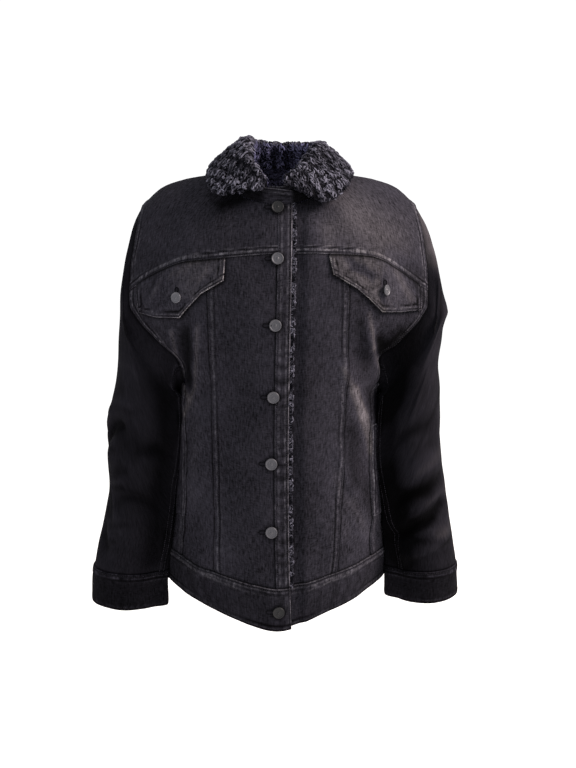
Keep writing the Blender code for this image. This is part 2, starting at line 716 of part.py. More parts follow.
def edge_faces(points, pairs, base, forward):
    """The faces between an outer edge and the inner one.

    Each is split from its outer point that comes first in one fixed direction, so that the two sides of a
    seam are split alike.
    """
    faces = []
    for a, b in pairs:
        if points[a] @ SPLIT_ORDER < points[b] @ SPLIT_ORDER:
            two = [(base + a, base + b, a), (base + b, b, a)]
        else:
            two = [(base + a, base + b, b), (base + a, b, a)]
        faces += two if forward else [face[::-1] for face in two]
    return faces


def signed_volume(points, faces):
    total = 0.0
    for face in faces:
        for k in range(1, len(face) - 1):
            total += np.dot(points[face[0]], np.cross(points[face[k]], points[face[k + 1]]))
    return total


def denim(name):
    return material(name, (0.030, 0.029, 0.033), 0.85)


def sherpa(name):
    return material(name, (0.045, 0.044, 0.052), 0.95)


def gunmetal(name):
    return material(name, (0.16, 0.16, 0.155), 0.5, 0.8)


def spread(seams, columns, levels):
    """Shares across one or more panels.

    seams gives functions of the level, and columns how many steps go between one and the next.
    """
    parts = []
    for k, count in enumerate(columns):
        low, high = seams[k](levels)[:, None], seams[k + 1](levels)[:, None]
        mix = np.linspace(0, 1, count + 1)[None, int(k > 0):]
        parts.append(low + (high - low) * mix)
    return np.concatenate(parts, axis=1)


def wide(reader, half, shares, levels):
    """What a torso function gives where a negative share stands for the wearer's right."""
    right, left = (reader(side, half, np.abs(shares), levels) for side in (RIGHT, LEFT))
    return np.where((shares < 0)[..., None], right, left)


def panel(name, side, half, rows, seams, columns, proud=0.0, seam_rows=(1, 1)):
    """A panel of the torso, from its first seam to its last, over some rows of levels.

    It stops half a gap short of its seams, and seam_rows says which of its end rows is one. A side of
    None is a panel right across the centre, where a negative share is the wearer's right.
    """
    levels = np.array(rows, float)
    shares = spread(seams, columns, levels)
    grid = np.repeat(levels[:, None], shares.shape[1], axis=1)

    def read(reader, at_shares, at_levels):
        if side is None:
            return wide(reader, half, at_shares, at_levels)
        return reader(side, half, at_shares, at_levels)

    for column, sign in ((0, 1), (-1, -1)):
        here, there = shares[:, column], shares[:, column] + sign * STEP_SHARE
        speed = np.linalg.norm(read(torso, there, levels) - read(torso, here, levels), axis=-1) / STEP_SHARE
        shares[:, column] += sign * GAP / 2 / speed
    for row, sign, is_seam in ((0, 1, seam_rows[0]), (-1, -1, seam_rows[1])):
        there = read(torso, shares[row], grid[row] + sign * STEP_LEVEL)
        speed = np.linalg.norm(there - read(torso, shares[row], grid[row]), axis=-1) / STEP_LEVEL
        grid[row] += sign * is_seam * GAP / 2 / np.maximum(speed, 1e-6)
    outer, normal = read(torso, shares, grid), read(torso_normal, shares, grid)
    return shell(name, outer + normal * proud, outer - normal * (WALL - proud), denim)


def constant(value):
    return lambda levels: np.full_like(levels, value)


def seam_at(half, column):
    """A seam whose distance from the centre line is in a table."""

    def seam(levels):
        levels = np.minimum(levels, column["level"][-1])
        return share_of(half, levels, through(column, "x", levels))

    return seam


def held(seam, level):
    """A seam line carried on straight from where it meets this level."""
    return constant(seam(np.array([float(level)]))[0])


def mirrored(seam):
    return lambda levels: -seam(levels)


def placket_edge(offset=0.0):
    return lambda levels: share_at(RIGHT, levels, through(PLACKET_EDGE, "x", levels) + offset)


def past_placket(offset):
    """A line on the left front, this far past the placket's edge."""
    return lambda levels: share_at(LEFT, levels, through(PLACKET_EDGE, "x", levels) + offset)


def left_edge(levels):
    return share_at(LEFT, levels, np.full_like(levels, -UNDERLAP))


def side_front(levels):
    return through(SIDE_FRONT, "share", np.minimum(levels, SIDE_FRONT["level"][-1]))


def tag(side):
    return "R" if side == RIGHT else "L"


def make_torso():
    princess, back_princess = seam_at("front", PRINCESS), seam_at("back", BACK_PRINCESS)
    edge = constant(1.0)
    fronts = (CENTRE_COLUMNS, SIDE_FRONT_COLUMNS, SIDE_COLUMNS)
    lap = (left_edge, past_placket(LAP_FULL), past_placket(LAP_END))
    for side in (RIGHT, LEFT):
        start = placket_edge(-PLACKET_WIDTH)
        side_rows = tuple(row for row in PANEL_ROWS if row <= SIDE_PANEL_TOP)
        centre, centre_columns = ((start,), fronts[:1]) if side == RIGHT else (lap, (1, 1, fronts[0] - 1))
        panel("centre_front_" + tag(side), side, "front", PANEL_ROWS, (*centre, princess), centre_columns)
        panel("side_front_" + tag(side), side, "front", PANEL_ROWS, (princess, side_front), fronts[1:2])
        panel("side_panel_" + tag(side), side, "front", side_rows, (side_front, edge), fronts[2:])
        yoke_columns = (*centre_columns, fronts[1])
        yoke_seams = (*centre, held(princess, YOKE), edge)
        panel("yoke_front_" + tag(side), side, "front", YOKE_ROWS, yoke_seams, yoke_columns)
        centre = (placket_edge(), start) if side == RIGHT else lap
        seams = (*centre, held(princess, BAND), held(side_front, BAND), edge)
        columns = ((2,) if side == RIGHT else ()) + centre_columns + fronts[1:]
        name = "waistband_front_" + tag(side)
        panel(name, side, "front", BAND_ROWS, seams, columns, BAND_PROUD, (0, 1))
        seams = (back_princess, edge)
        panel("back_side_" + tag(side), side, "back", PANEL_ROWS, seams, (BACK_SIDE_COLUMNS,))
    across = (BACK_SIDE_COLUMNS, BACK_CENTRE_COLUMNS, BACK_SIDE_COLUMNS)
    seams = (mirrored(back_princess), back_princess)
    panel("back_centre", None, "back", PANEL_ROWS, seams, across[1:2])
    for name, rows, level, proud, seam_rows in (
        ("yoke_back", YOKE_ROWS, YOKE, 0.0, (1, 1)),
        ("waistband_back", BAND_ROWS, BAND, BAND_PROUD, (0, 1)),
    ):
        seam = held(back_princess, level)
        seams = (mirrored(edge), mirrored(seam), seam, edge)
        panel(name, None, "back", rows, seams, across, proud, seam_rows)
    placket_rows = PANEL_ROWS + YOKE_ROWS[1:]
    seams = (placket_edge(), placket_edge(-PLACKET_WIDTH))
    panel("placket_R", RIGHT, "front", placket_rows, seams, (2,))
    fringe_strip(placket_rows)


def fringe_strip(rows):
    """The edge of the sherpa lining, which shows past the placket."""
    levels = np.array(rows, float)[:, None]
    mix = np.array((0.0, 1.0))[None, :]
    edge = through(PLACKET_EDGE, "x", levels) + GAP + FRINGE_WIDTH * mix
    shares = share_at(RIGHT, levels, edge)
    grid = np.broadcast_to(levels, shares.shape)
    outer = torso(RIGHT, "front", shares, grid)
    normal = torso_normal(RIGHT, "front", shares, grid)
    inner = outer - normal * (FRINGE_SINK + FRINGE_THICK)
    shell("sherpa_edge", outer - normal * FRINGE_SINK, inner, sherpa)


def make_sleeves():
    levels = [level for level in PANEL_ROWS + YOKE_ROWS[1:] if level >= UNDERARM]
    front = [float(turn_of("front", level)) for level in levels]
    back = [float(turn_of("back", level)) for level in levels]
    around = sorted(set(front + back[1:-1]))
    front_seam = float(turn_of("front", SLEEVE_SEAM_LEVEL))
    back_seam = float(turn_of("back", SLEEVE_SEAM_LEVEL))
    upper = [turn - 1 for turn in around if turn >= back_seam]
    upper += [turn for turn in around if turn <= front_seam]
    under = [turn for turn in around if front_seam <= turn <= back_seam]
    for side in (RIGHT, LEFT):
        strip("sleeve_upper_" + tag(side), side, upper)
        strip("sleeve_under_" + tag(side), side, under)
        turns, stations = np.meshgrid(np.array(around), np.array(CUFF_ROWS, float))
        stations[0] += GAP / 2 / SLEEVE_STATION
        outer = sleeve(side, turns, stations)
        normal = sleeve_normal(side, turns, stations)
        outside, inside = outer + normal * BAND_PROUD, outer - normal * (WALL - BAND_PROUD)
        shell("cuff_" + tag(side), outside, inside, denim, closed=True)


def strip(name, side, turns):
    """A length of sleeve between its two long seams."""
    turn, station = np.meshgrid(np.array(turns), np.array(SLEEVE_ROWS, float))
    for column, sign in ((0, 1), (-1, -1)):
        here, there = turn[:, column], turn[:, column] + sign * STEP_TURN
        rows = station[:, column]
        speed = np.linalg.norm(sleeve(side, there, rows) - sleeve(side, here, rows), axis=-1) / STEP_TURN
        turn[:, column] += sign * GAP / 2 / speed
    station[-1] -= GAP / 2 / SLEEVE_STATION
    outer = sleeve(side, turn, station)
    normal = sleeve_normal(side, turn, station)
    outer[0] += unit(np.cross(normal[0], armhole_tangent(side, turn[0]))) * side * 2 * GAP
    shell(name, outer, outer - normal * WALL, denim)


def armhole_tangent(side, turn):
    after, before = (armhole_points(side, turn + step, torso) for step in (STEP_TURN, -STEP_TURN))
    return unit(after - before)


# The collar ------------------------------------------------------------------------------------------


def neck(share):
    """The neck seam from the centre back, share 0, round to the centre front, 1 or -1, and past it."""
    side = np.where(share < 0, RIGHT, LEFT)
    away = np.abs(share)
    back = away / 0.5 * math.pi / 2
    front = (1 - away) / 0.5 * math.pi / 2
    is_back = away < 0.5
    x = NECK_HALF * np.where(is_back, np.sin(back), np.sin(front))
    y = np.where(is_back, NECK_BACK * np.cos(back), -NECK_FRONT * np.cos(front))
    z = np.where(is_back, NECK_RISE_BACK * np.cos(back), NECK_DIP_FRONT * np.cos(front))
    depth = np.where(is_back, NECK_BACK, NECK_FRONT)
    out = unit(stack(x / NECK_HALF**2, y / depth**2, 0))
    mirror = stack(side, 1, 1)
    point = stack(x, y, z) * mirror
    under = np.where(side == LEFT, ease((UNDER_X - point[..., 0]) / UNDER_FADE), 0.0) * (y < 0)
    return point, out * mirror, under


def collar_frame(share):
    """Where the collar is at one share of the neck seam, negative for the wearer's right.

    It gives the seam, the middle of the roll, the way up between them, the way out, and the roll's sizes.
    """
    side = RIGHT if share < 0 else LEFT
    away = min(abs(share) / NECK_END[side], 1)
    base, out, under = (value[0] for value in neck(np.array([share])))
    end_base, _, _ = (value[0] for value in neck(np.array([side * away * NECK_END[side]])))
    roll = np.array([float(through(ROLL[side], axis, away)) for axis in "xyz"]) * (side, 1, 1)
    radius = float(through(ROLL_SIZE, "radius", away))
    half = float(through(ROLL_SIZE, "half", away))
    reach = roll - (0, 0, radius) - end_base
    rise = unit(reach)
    out = unit(out - rise * (out @ rise))
    base = base - out * under * STAND_LAP
    return base, base + reach, rise, out, radius, half


def make_stand():
    """A band of denim up from the neck seam, with a rounded front corner on the wearer's right."""
    right = np.linspace(STAND_END[RIGHT], -NECK_END[RIGHT], 8)[:-1]
    left = np.linspace(NECK_END[LEFT], STAND_END[LEFT], 4)[1:]
    shares = [*right, *(side * away * NECK_END[side] for side, away in COLLAR_SHARES), *left]
    outer, inner = [], []
    for share in shares:
        base, middle, rise, out, _, _ = collar_frame(share)
        past = np.clip((abs(share) - CORNER_START) / (-STAND_END[RIGHT] - CORNER_START), 0, 1)
        height = STAND_REACH * np.linalg.norm(middle - base)
        height = min(height, STAND_HEIGHT) if abs(share) > CORNER_START else height
        if share < 0:
            height *= math.sqrt(1 - (CORNER_DROP * past) ** 2)
        start = 2 * GAP + STAND_WALL * max(out[2], 0)
        line = [base + rise * (start + (height - start) * t) for t in (0, 0.5, 1)]
        outer.append(line)
        inner.append([point - out * STAND_WALL for point in line])
    shell("collar_stand", np.array(outer), np.array(inner), denim)


def yoke_samples():
    """Points and directions of the yokes, for the collar's leaf to lie on."""
    points, normals = [], []
    for side in (RIGHT, LEFT):
        for half in ("front", "back"):
            share, level = np.meshgrid(np.linspace(-0.1, 0.8, 46), np.linspace(8.4, 9.98, 40))
            points.append(torso(side, half, share, level).reshape(-1, 3))
            normals.append(torso_normal(side, half, share, level).reshape(-1, 3))
    return np.concatenate(points), np.concatenate(normals)


def raised(points, samples, normals, clear):
    """Points moved out where they are nearer than clear to the sampled surface."""
    flat = points.reshape(-1, 3)
    nearest = np.array([np.argmin(((samples - point) ** 2).sum(axis=1)) for point in flat])
    height = ((flat - samples[nearest]) * normals[nearest]).sum(axis=1)
    need = np.maximum(np.broadcast_to(clear, points.shape[:-1]).reshape(-1) - height, 0)
    return (flat + normals[nearest] * need[:, None]).reshape(points.shape)


def collar_middle(side, away):
    """The middle of the collar's cloth at one share of its length, from neck seam to leaf edge."""
    leaf = np.array([float(through(LEAF[side], axis, away)) for axis in "xyz"]) * (side, 1, 1)
    base, middle, rise, out, radius, half = collar_frame(side * max(away, 1e-4) * NECK_END[side])
    start = base - out * (STAND_WALL + 2 * GAP + STAND_LAYER_HALF) + rise * STAND_LAYER_START
    rolled_in, rolled_out = middle - out * radius, middle + out * radius
    points = [start + (rolled_in - start) * t for t in (0, 0.35, 0.7)]
    for angle in np.radians((180, 144, 108, 72, 36, 0)):
        points.append(middle + out * radius * math.cos(angle) + rise * radius * math.sin(angle))
    length = np.linalg.norm(leaf - rolled_out)
    control = rolled_out - rise * length * LEAF_DROP + unit(out) * length * LEAF_OUT
    for t in (0.25, 0.5, 0.75, 0.92, 1.0):
        points.append(rolled_out * (1 - t) ** 2 + control * 2 * t * (1 - t) + leaf * t**2)
    halves = [STAND_LAYER_HALF] * 3 + list(np.linspace(STAND_LAYER_HALF, half, 6)) + [half] * 3
    halves += [half * 0.8, half * 0.35]
    return np.array(points), np.array(halves)


def make_collar():
    middles, halves = zip(*[collar_middle(side, away) for side, away in COLLAR_SHARES])
    middles, halves = np.array(middles), np.array(halves)
    samples, normals = yoke_samples()
    middles[:, 8:] = raised(middles[:, 8:], samples, normals, halves[:, 8:] + LEAF_CLEAR)
    along = np.gradient(middles, axis=0)
    across = np.gradient(middles, axis=1)
    facing = unit(np.cross(across, along))
    crest = facing[len(COLLAR_SHARES) // 2, 5]
    facing = facing * np.sign(crest[2])
    shell("collar", middles + facing * halves[..., None], middles - facing * halves[..., None], sherpa)


# What is sewn on -------------------------------------------------------------------------------------


def lie_on_front(side, x, z, low, high):
    """The lower and upper faces of a piece that lies on the front at these places."""
    share, level = on_front(side, x, z)
    base = torso(side, "front", share, level)
    normal = torso_normal(side, "front", share, level)
    return base + normal * high, base + normal * low


def yoke_seam_z(side, x):
    share = share_at(side, np.full_like(x, YOKE), side * x)
    return torso(side, "front", share, np.full_like(x, YOKE))[..., 2]


def make_flaps():
    for side in (RIGHT, LEFT):
        rows = FLAP_OUTLINE[side]
        across = np.array((0, 0.12, 0.25, 0.38, 0.5, 0.62, 0.75, 0.87, 1.0))
        x_top = np.interp(across, rows["share"], rows["x_top"])
        x_low = np.interp(across, rows["share"], rows["x_low"])
        z_low = np.interp(across, rows["share"], rows["z_low"])
        z_top = yoke_seam_z(side, x_top) - FLAP_DROP
        down = np.linspace(0, 1, 5)[:, None]
        x = x_top + (x_low - x_top) * down
        z = z_top + (z_low - z_top) * down
        outer, inner = lie_on_front(side, side * x, z, LIFT, LIFT + FLAP_THICK)
        shell("flap_" + tag(side), outer, inner, denim)


def make_welts():
    for side in (RIGHT, LEFT):
        down = np.linspace(0, 1, 9)[:, None]
        offset = np.linspace(-0.5, 0.5, 3)[None, :] * WELT_WIDTH
        x = WELT["x"][0] + (WELT["x"][1] - WELT["x"][0]) * down + offset
        z = WELT["z"][0] + (WELT["z"][1] - WELT["z"][0]) * down + 0 * offset
        x = side * x + HEM_SWAY * WELT_SWAY
        outer, inner = lie_on_front(side, x, z, WELT_LIFT, WELT_LIFT + WELT_THICK)
        shell("welt_" + tag(side), outer, inner, denim)


# From its back edge over the rim to the dot, as shares of the button's radius and thickness.
BUTTON_PROFILE = table(
    "radius height", (0.88, 0), (1, 0.4), (0.96, 0.92), (0.82, 1), (0.74, 0.82), (0.28, 0.8)
)
BUTTON_SIDES = 12
BUTTON_DOT = 0.97  # height of the dot


def add_button(name, centre, normal, radius):
    """A tack button: a rimmed disc with a raised dot."""
    normal = unit(np.array(normal))
    across = unit(np.cross(normal, (0, 0, 1.0)))
    upward = np.cross(across, normal)
    angles = np.linspace(0, 2 * math.pi, BUTTON_SIDES + 1)[:-1]
    rings = []
    for share, height in zip(BUTTON_PROFILE["radius"], BUTTON_PROFILE["height"]):
        rim_points = np.outer(np.cos(angles), across) + np.outer(np.sin(angles), upward)
        rings.append(centre + normal * height * BUTTON_THICK + rim_points * share * radius)
    points = np.concatenate(rings + [[centre, centre + normal * BUTTON_DOT * BUTTON_THICK]])
    count, last = len(angles), len(rings) - 1
    under, top = count * len(rings), count * len(rings) + 1
    faces = []
    for k in range(last):
        for i in range(count):
            j = (i + 1) % count
            faces.append((k * count + i, k * count + j, (k + 1) * count + j, (k + 1) * count + i))
    for i in range(count):
        j = (i + 1) % count
        faces.append((under, j, i))
        faces.append((top, last * count + i, last * count + j))
    ring = faces[0]
    middle = points[list(ring)].mean(axis=0) - centre
    first_way, second_way = (points[ring[k]] - points[ring[0]] for k in (1, 3))
    turned_in = np.dot(np.cross(first_way, second_way), middle) < 0
    if turned_in:
        faces = [face[::-1] for face in faces]
    return add_object(name, points, faces, gunmetal)


def make_buttons():
    for i, (x, z, more_lift) in enumerate(zip(*BUTTONS.values())):
        share, level = on_front(RIGHT, np.array([x]), np.array([z]))
        point = torso(RIGHT, "front", share, level)[0]
        normal = torso_normal(RIGHT, "front", share, level)[0]
        lift = BUTTON_LIFT + more_lift + BAND_PROUD * (level[0] < BAND)
        add_button("button_%d" % (i + 1), point + normal * lift, normal, BUTTON_RADIUS)
    for side in (RIGHT, LEFT):
        x, z = FLAP_BUTTONS[side]
        share, level = on_front(side, np.array([side * x]), np.array([z]))
        point = torso(side, "front", share, level)[0]
        normal = torso_normal(side, "front", share, level)[0]
        on_flap = LIFT + FLAP_THICK + FLAP_BUTTON_LIFT
        add_button("flap_button_" + tag(side), point + normal * on_flap, normal, FLAP_BUTTON_RADIUS)


def main():
    for thing in list(bpy.data.objects):
        bpy.data.objects.remove(thing)
    make_torso()
    make_sleeves()
    make_stand()
    make_collar()
    make_flaps()
    make_welts()
    make_buttons()


main()
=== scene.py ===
"""Visual model of the sherpa lined denim jacket.

Metres, +Z up, the front faces -Y and +X is the wearer's left, with the origin midway between the high
points of the two shoulder seams. The surfaces are those of the CAD: the torso (share from the centre line
to the side or armhole, level from hem to neck), the sleeve (turn round it, station along it) and the collar.
Each panel is a fine sheet on its surface, with laps, puckers and creases, and the stitches, the curls of
the sherpa and the buttons are meshes on top.
"""

import math

import bpy
import numpy as np
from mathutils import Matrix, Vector


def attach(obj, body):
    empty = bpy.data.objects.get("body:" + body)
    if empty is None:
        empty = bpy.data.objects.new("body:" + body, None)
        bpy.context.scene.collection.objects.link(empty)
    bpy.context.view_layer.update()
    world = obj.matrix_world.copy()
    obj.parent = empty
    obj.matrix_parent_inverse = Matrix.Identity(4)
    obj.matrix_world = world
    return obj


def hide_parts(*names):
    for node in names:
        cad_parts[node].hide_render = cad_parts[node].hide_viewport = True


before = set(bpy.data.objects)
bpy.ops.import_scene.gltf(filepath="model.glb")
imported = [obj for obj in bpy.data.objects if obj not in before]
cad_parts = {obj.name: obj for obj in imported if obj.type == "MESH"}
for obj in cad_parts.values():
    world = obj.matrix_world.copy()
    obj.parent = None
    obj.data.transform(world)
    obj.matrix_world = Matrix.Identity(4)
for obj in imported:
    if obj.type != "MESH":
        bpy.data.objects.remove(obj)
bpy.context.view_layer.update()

# Driving sizes ---------------------------------------------------------------------------------------

WALL = 0.004  # denim with the sherpa bonded to its inside
GAP = 0.0003  # between two pieces at a seam
LIFT = 0.0008  # from a panel to what is sewn on it
STAND_WALL = 0.002  # the collar stand is denim alone
BAND_PROUD = 0.001  # waistband and cuffs stand out by this
STAND_HEIGHT = 0.025  # at its front end on the wearer's right
STAND_REACH = 0.8  # elsewhere it goes this far up inside the collar's fold
FLAP_THICK = 0.0025
WELT_THICK = 0.002
WELT_LIFT = 0.0014  # more than LIFT, since it bridges a fold
WELT_WIDTH = 0.012
BUTTON_RADIUS = 0.0085
BUTTON_THICK = 0.003
FLAP_BUTTON_RADIUS = 0.0078
BUTTON_LIFT, FLAP_BUTTON_LIFT = 0.0009, 0.0006  # their backs from the cloth, which bulges under them
PLACKET_WIDTH = 0.020
UNDERLAP = 0.012  # the left front reaches this far past the centre, under the right one
LAP_DEPTH = WALL + 0.0018  # how far the left front sinks under the right one
LAP_FULL, LAP_END = 0.010, 0.024  # it has its full depth, and then none, this far past the placket's edge
STAND_LAP = STAND_WALL + 0.0012
FRINGE_WIDTH = 0.0055  # sherpa that shows past the placket's edge
FRINGE_SINK = 0.0006
FRINGE_THICK = 0.003
NECK_HALF = 0.080
NECK_FRONT = 0.100
NECK_BACK = 0.072
NECK_DIP_FRONT = -0.047
NECK_RISE_BACK = 0.012
NECK_SHARE = 0.45  # share of a yoke's top edge that is neckline, the rest is shoulder seam
HEM_SWAY = -0.007  # the hem swings this far towards the wearer's right

SIDES = RIGHT, LEFT = -1, 1  # the wearer's, as signs of X
HALVES = ("front", "back")
HEM, BAND, UNDERARM, YOKE, TOP = 0, 1, 4, 9, 10  # levels of the torso

CUFF, SLEEVE_END = 9, 10  # stations along the sleeve
SLEEVE_SEAM_LEVEL = 5.5  # the sleeve's two long seams start at this level of the armhole


def table(columns, text):
    """A dict with one array for each named column, from rows of numbers with semicolons between them."""
    return dict(zip(columns.split(), np.array([row.split() for row in text.split(";")], float).T))


def tables(keys, columns, *texts):
    """A table for each key, all with the same columns."""
    return {key: table(columns, text) for key, text in zip(keys, texts)}


# The centre line of each half, from the hem to the yoke seam.
CENTRE = tables(HALVES, "level y z", """
        0 -.15 -.6515; 1 -.149 -.588; 2 -.146 -.497; 3 -.142 -.404; 4 -.141 -.338; 5 -.142 -.3;
        6 -.142 -.262; 7 -.141 -.222; 8 -.135 -.172; 9 -.122 -.1145""", """
        0 .135 -.624; 1 .133 -.574; 2 .123 -.488; 3 .112 -.4; 4 .112 -.335; 5 .114 -.3;
        6 .116 -.264; 7 .117 -.225; 8 .116 -.18; 9 .11 -.128""")

# Where front and back meet, from the hem to the underarm.
SIDE = table("level x y z", "0 .172 0 -.604; 1 .17 0 -.557; 2 .165 0 -.479; 3 .159 0 -.395; 4 .151 0 -.33")

UNDERARM_Z, HEM_Z = SIDE["z"][-1], SIDE["z"][0]

# The armhole, from the underarm to the end of the shoulder seam.
ARMHOLE = tables(HALVES, "level x y z", """
        4 .151 0 -.33; 4.4 .147 -.024 -.326; 5 .143 -.046 -.306; 6 .15 -.06 -.268;
        7 .176 -.066 -.24; 8 .206 -.062 -.207; 9 .216 -.05 -.17; 10 .203 0 -.048""", """
        4 .151 0 -.33; 4.4 .1505 .022 -.326; 5 .155 .041 -.306; 6 .168 .055 -.271;
        7 .179 .061 -.235; 8 .19 .061 -.195; 9 .199 .052 -.147; 10 .203 0 -.048""")

# How far round its arc a section goes, in degrees: 90 where front and back meet at the side.
ROUND = tables(HALVES, "level arc",
    "0 90; 3 90; 4 90; 5 72; 6 65; 7 62; 8 60; 9 58",
    "0 90; 3 90; 4 90; 5 70; 6 62; 7 58; 8 55; 9 52")

# The yoke seam is level across the chest and then runs down to the armhole.
YOKE_DROP = table("share drop", "-.2 0; 0 0; .2 0; .4 .03; .56 .12; .7 .37; .85 .7; 1 1; 1.1 1.2")
YOKE_SAG = 0.007  # the wearer's right half of that seam bows down by this, near YOKE_SAG_SHARE
YOKE_SAG_SHARE = 0.45

# The hem and the waistband's seam come up from a point at the centre front.
HEM_DROP = table("share drop", "-.2 .2; 0 0; .12 .16; .33 .54; .45 .7; .6 .89; .75 .97; 1 1")

# The shoulder seam, from the neck to the armhole.
SHOULDER = table("share x z", "0 .08 0; .25 .11 -.004; .5 .142 -.01; .75 .174 -.022; 1 .203 -.048")

# How a yoke leaves its seam and comes to its top edge: pulls in shares of the distance between the two, and
# the slope at the top, at the neck's centre and then as a change towards the shoulder.
YOKE_PULL_LOW, YOKE_PULL_HIGH = 1.15, 1.05
YOKE_SLOPE_LEVEL = 0.3  # the seam's own slope is taken over this much below it
YOKE_OVERRUN = 1.02  # a yoke's surface can be read this far, as a share of its height
LEAN_OUT, LEAN_OUT_MORE, LEAN_UP_LESS = 0.30, 0.70, 0.75
YOKE_FACING_UP = 1.2  # its outward direction turns up by this much at the shoulder

# The placket's free edge on the front.
PLACKET_EDGE = table("level x", "0 .0186; 1 .0165; 2 .0148; 3 .0145; 5 .0155; 7 .017; 9 .0192; 10 .0198")
PRINCESS = table("level x", "1 .088; 4 .094; 9 .099")
BACK_PRINCESS = table("level x", "1 .052; 4 .072; 9 .098")
SIDE_FRONT = table("level share", "1 .62; 3 .64; 4 .7; 4.6 .82; 5.1 .985; 5.5 1")
SIDE_PANEL_TOP = 5.0

# The sleeve's outer and inner lines, and how far it is from front to back at each station.
SLEEVE = table("station z_out z_in x_right x_left x_in y_mid half_depth lift_left", """
    0 -.048 -.33 .203 .203 .151 0 .064 0; .5 -.068 -.326 .213 .215 .158 -.001 .066 0;
    1 -.092 -.343 .22 .225 .162 -.003 .068 0; 2 -.14 -.364 .23 .237 .153 -.01 .069 0;
    3 -.2 -.388 .236 .245 .147 -.017 .068 0; 4 -.265 -.415 .24 .239 .146 -.022 .066 0;
    5 -.33 -.446 .249 .241 .148 -.025 .064 0; 6 -.395 -.48 .26 .244 .154 -.026 .062 0;
    7 -.46 -.516 .258 .251 .159 -.028 .06 0; 8 -.524 -.552 .27 .261 .165 -.029 .058 .001;
    9 -.588 -.591 .283 .27 .17 -.029 .056 .004; 10 -.644 -.647 .288 .273 .173 -.029 .054 .011""")
LOOP_FADE = 4.0  # the armhole's own outline has gone by this station
ARM_CLEAR = 0.0055  # between the sleeve and the side of the torso, with the pocket welt on it
ARM_CLEAR_SOFT = 0.002

# Soft folds: a ridge between two points of the cloth, or a trough where its height is below zero.
TORSO_FOLDS = tables(HALVES, "x0 z0 x1 z1 width height", """
        -.116 -.226 -.117 -.276 .013 .004; -.117 -.276 -.134 -.335 .013 .005;
        -.134 -.236 -.132 -.3 .014 -.006; -.118 -.37 -.116 -.45 .022 .004;
        .126 -.222 .131 -.246 .013 .004; .131 -.246 .14 -.3 .013 .005; .148 -.236 .148 -.268 .014 -.006;
        .094 -.27 .128 -.355 .015 .004; .082 -.395 .122 -.5 .017 .004; -.05 -.52 -.11 -.56 .018 .003""", """
        -.145 -.24 -.12 -.33 .013 .005; .14 -.23 .122 -.32 .013 .005; -.13 -.35 -.06 -.39 .014 .004;
        .125 -.36 .05 -.405 .015 .004; -.09 -.43 .01 -.455 .016 -.003; -.11 -.54 -.07 -.45 .018 .003;
        .105 -.545 .08 -.47 .018 .003""")
SLEEVE_ROUND, SLEEVE_STATION = 0.36, 0.056  # one turn and one station, in metres, for the folds
# These are given in turns and stations, and turned to metres at once.
SLEEVE_FOLDS = tables(SIDES, "u0 v0 u1 v1 width height", """
        .02 6.1 .14 5.2 .012 -.007; .03 5.5 .16 4.6 .014 .004; .05 7.5 .12 8.4 .013 -.005;
        .33 4.6 .2 5.5 .014 -.004; .3 6.6 .14 7.2 .015 -.004; .95 6.2 .8 5.3 .014 -.006;
        .68 5.2 .84 6.3 .014 -.005; .92 7.4 .78 8 .014 -.004; .22 1.2 .18 2.6 .014 .004""", """
        .36 7.6 .12 7.3 .013 -.007; .33 6.4 .08 6.7 .013 -.005; .34 8.4 .14 8.1 .014 .004;
        .05 2.9 .16 2.4 .014 .005; .3 4.4 .15 5.2 .015 -.004; .93 6.4 .76 5.6 .014 -.006;
        .68 6.6 .86 7.4 .014 -.005; .9 4.6 .74 4.9 .015 -.004; .22 1.3 .18 2.6 .014 .004""")
for folds_of_side in SLEEVE_FOLDS.values():
    for column, scale in zip("u0 v0 u1 v1".split(), (SLEEVE_ROUND, SLEEVE_STATION) * 2):
        folds_of_side[column] = folds_of_side[column] * scale

# The collar: crest of the roll and edge of the leaf, from the centre back to the front end.
ROLL = tables(SIDES, "share x y z", """
        0 0 .058 .045; .2 .026 .052 .047; .4 .043 .028 .048; .55 .045 -.006 .048;
        .7 .044 -.042 .036; .82 .04 -.072 .014; .92 .028 -.09 -.004; 1 .018 -.098 -.013""", """
        0 0 .058 .045; .2 .028 .052 .045; .4 .052 .028 .043; .55 .06 -.006 .041; .7 .051 -.042 .033;
        .82 .037 -.072 .014; .92 .023 -.09 -.001; 1 .01 -.099 -.009""")
LEAF = tables(SIDES, "share x y z", """
        0 0 .1 -.008; .2 .045 .092 -.006; .4 .089 .055 0; .55 .103 0 .006; .65 .102 -.045 -.008;
        .72 .097 -.072 -.022; .79 .082 -.09 -.032; .86 .06 -.1 -.03; .93 .038 -.105 -.027;
        1 .018 -.107 -.025""", """
        0 0 .1 -.008; .2 .045 .092 -.006; .4 .09 .055 0; .55 .106 0 .005; .65 .103 -.045 -.011;
        .72 .09 -.076 -.028; .79 .068 -.098 -.042; .86 .047 -.104 -.036; .93 .028 -.106 -.028;
        1 .011 -.107 -.018""")
NECK_END = {RIGHT: 0.925, LEFT: 0.955}  # the collar's front ends, as shares of half the neck seam
STAND_END = {RIGHT: -1.155, LEFT: 1.05}
CORNER_START, CORNER_DROP = 0.95, 0.96  # where the stand's front corner starts, and how far it comes down
UNDER_X, UNDER_FADE = 0.042, 0.020  # from here to the centre the collar's left end sinks under its right one
LEAF_DROP, LEAF_OUT = 0.35, 0.12  # how the leaf bows on its way down from the roll, as shares of its length
LEAF_CLEAR = 0.0012  # from the yokes to the leaf
ROLL_SIZE = table("share radius half", "0 .0068 .0052; .8 .0068 .0052; 1 .005 .0034")
STAND_LAYER_HALF, STAND_LAYER_START = 0.0030, 0.0015  # half the collar's thickness at the neck, and its start

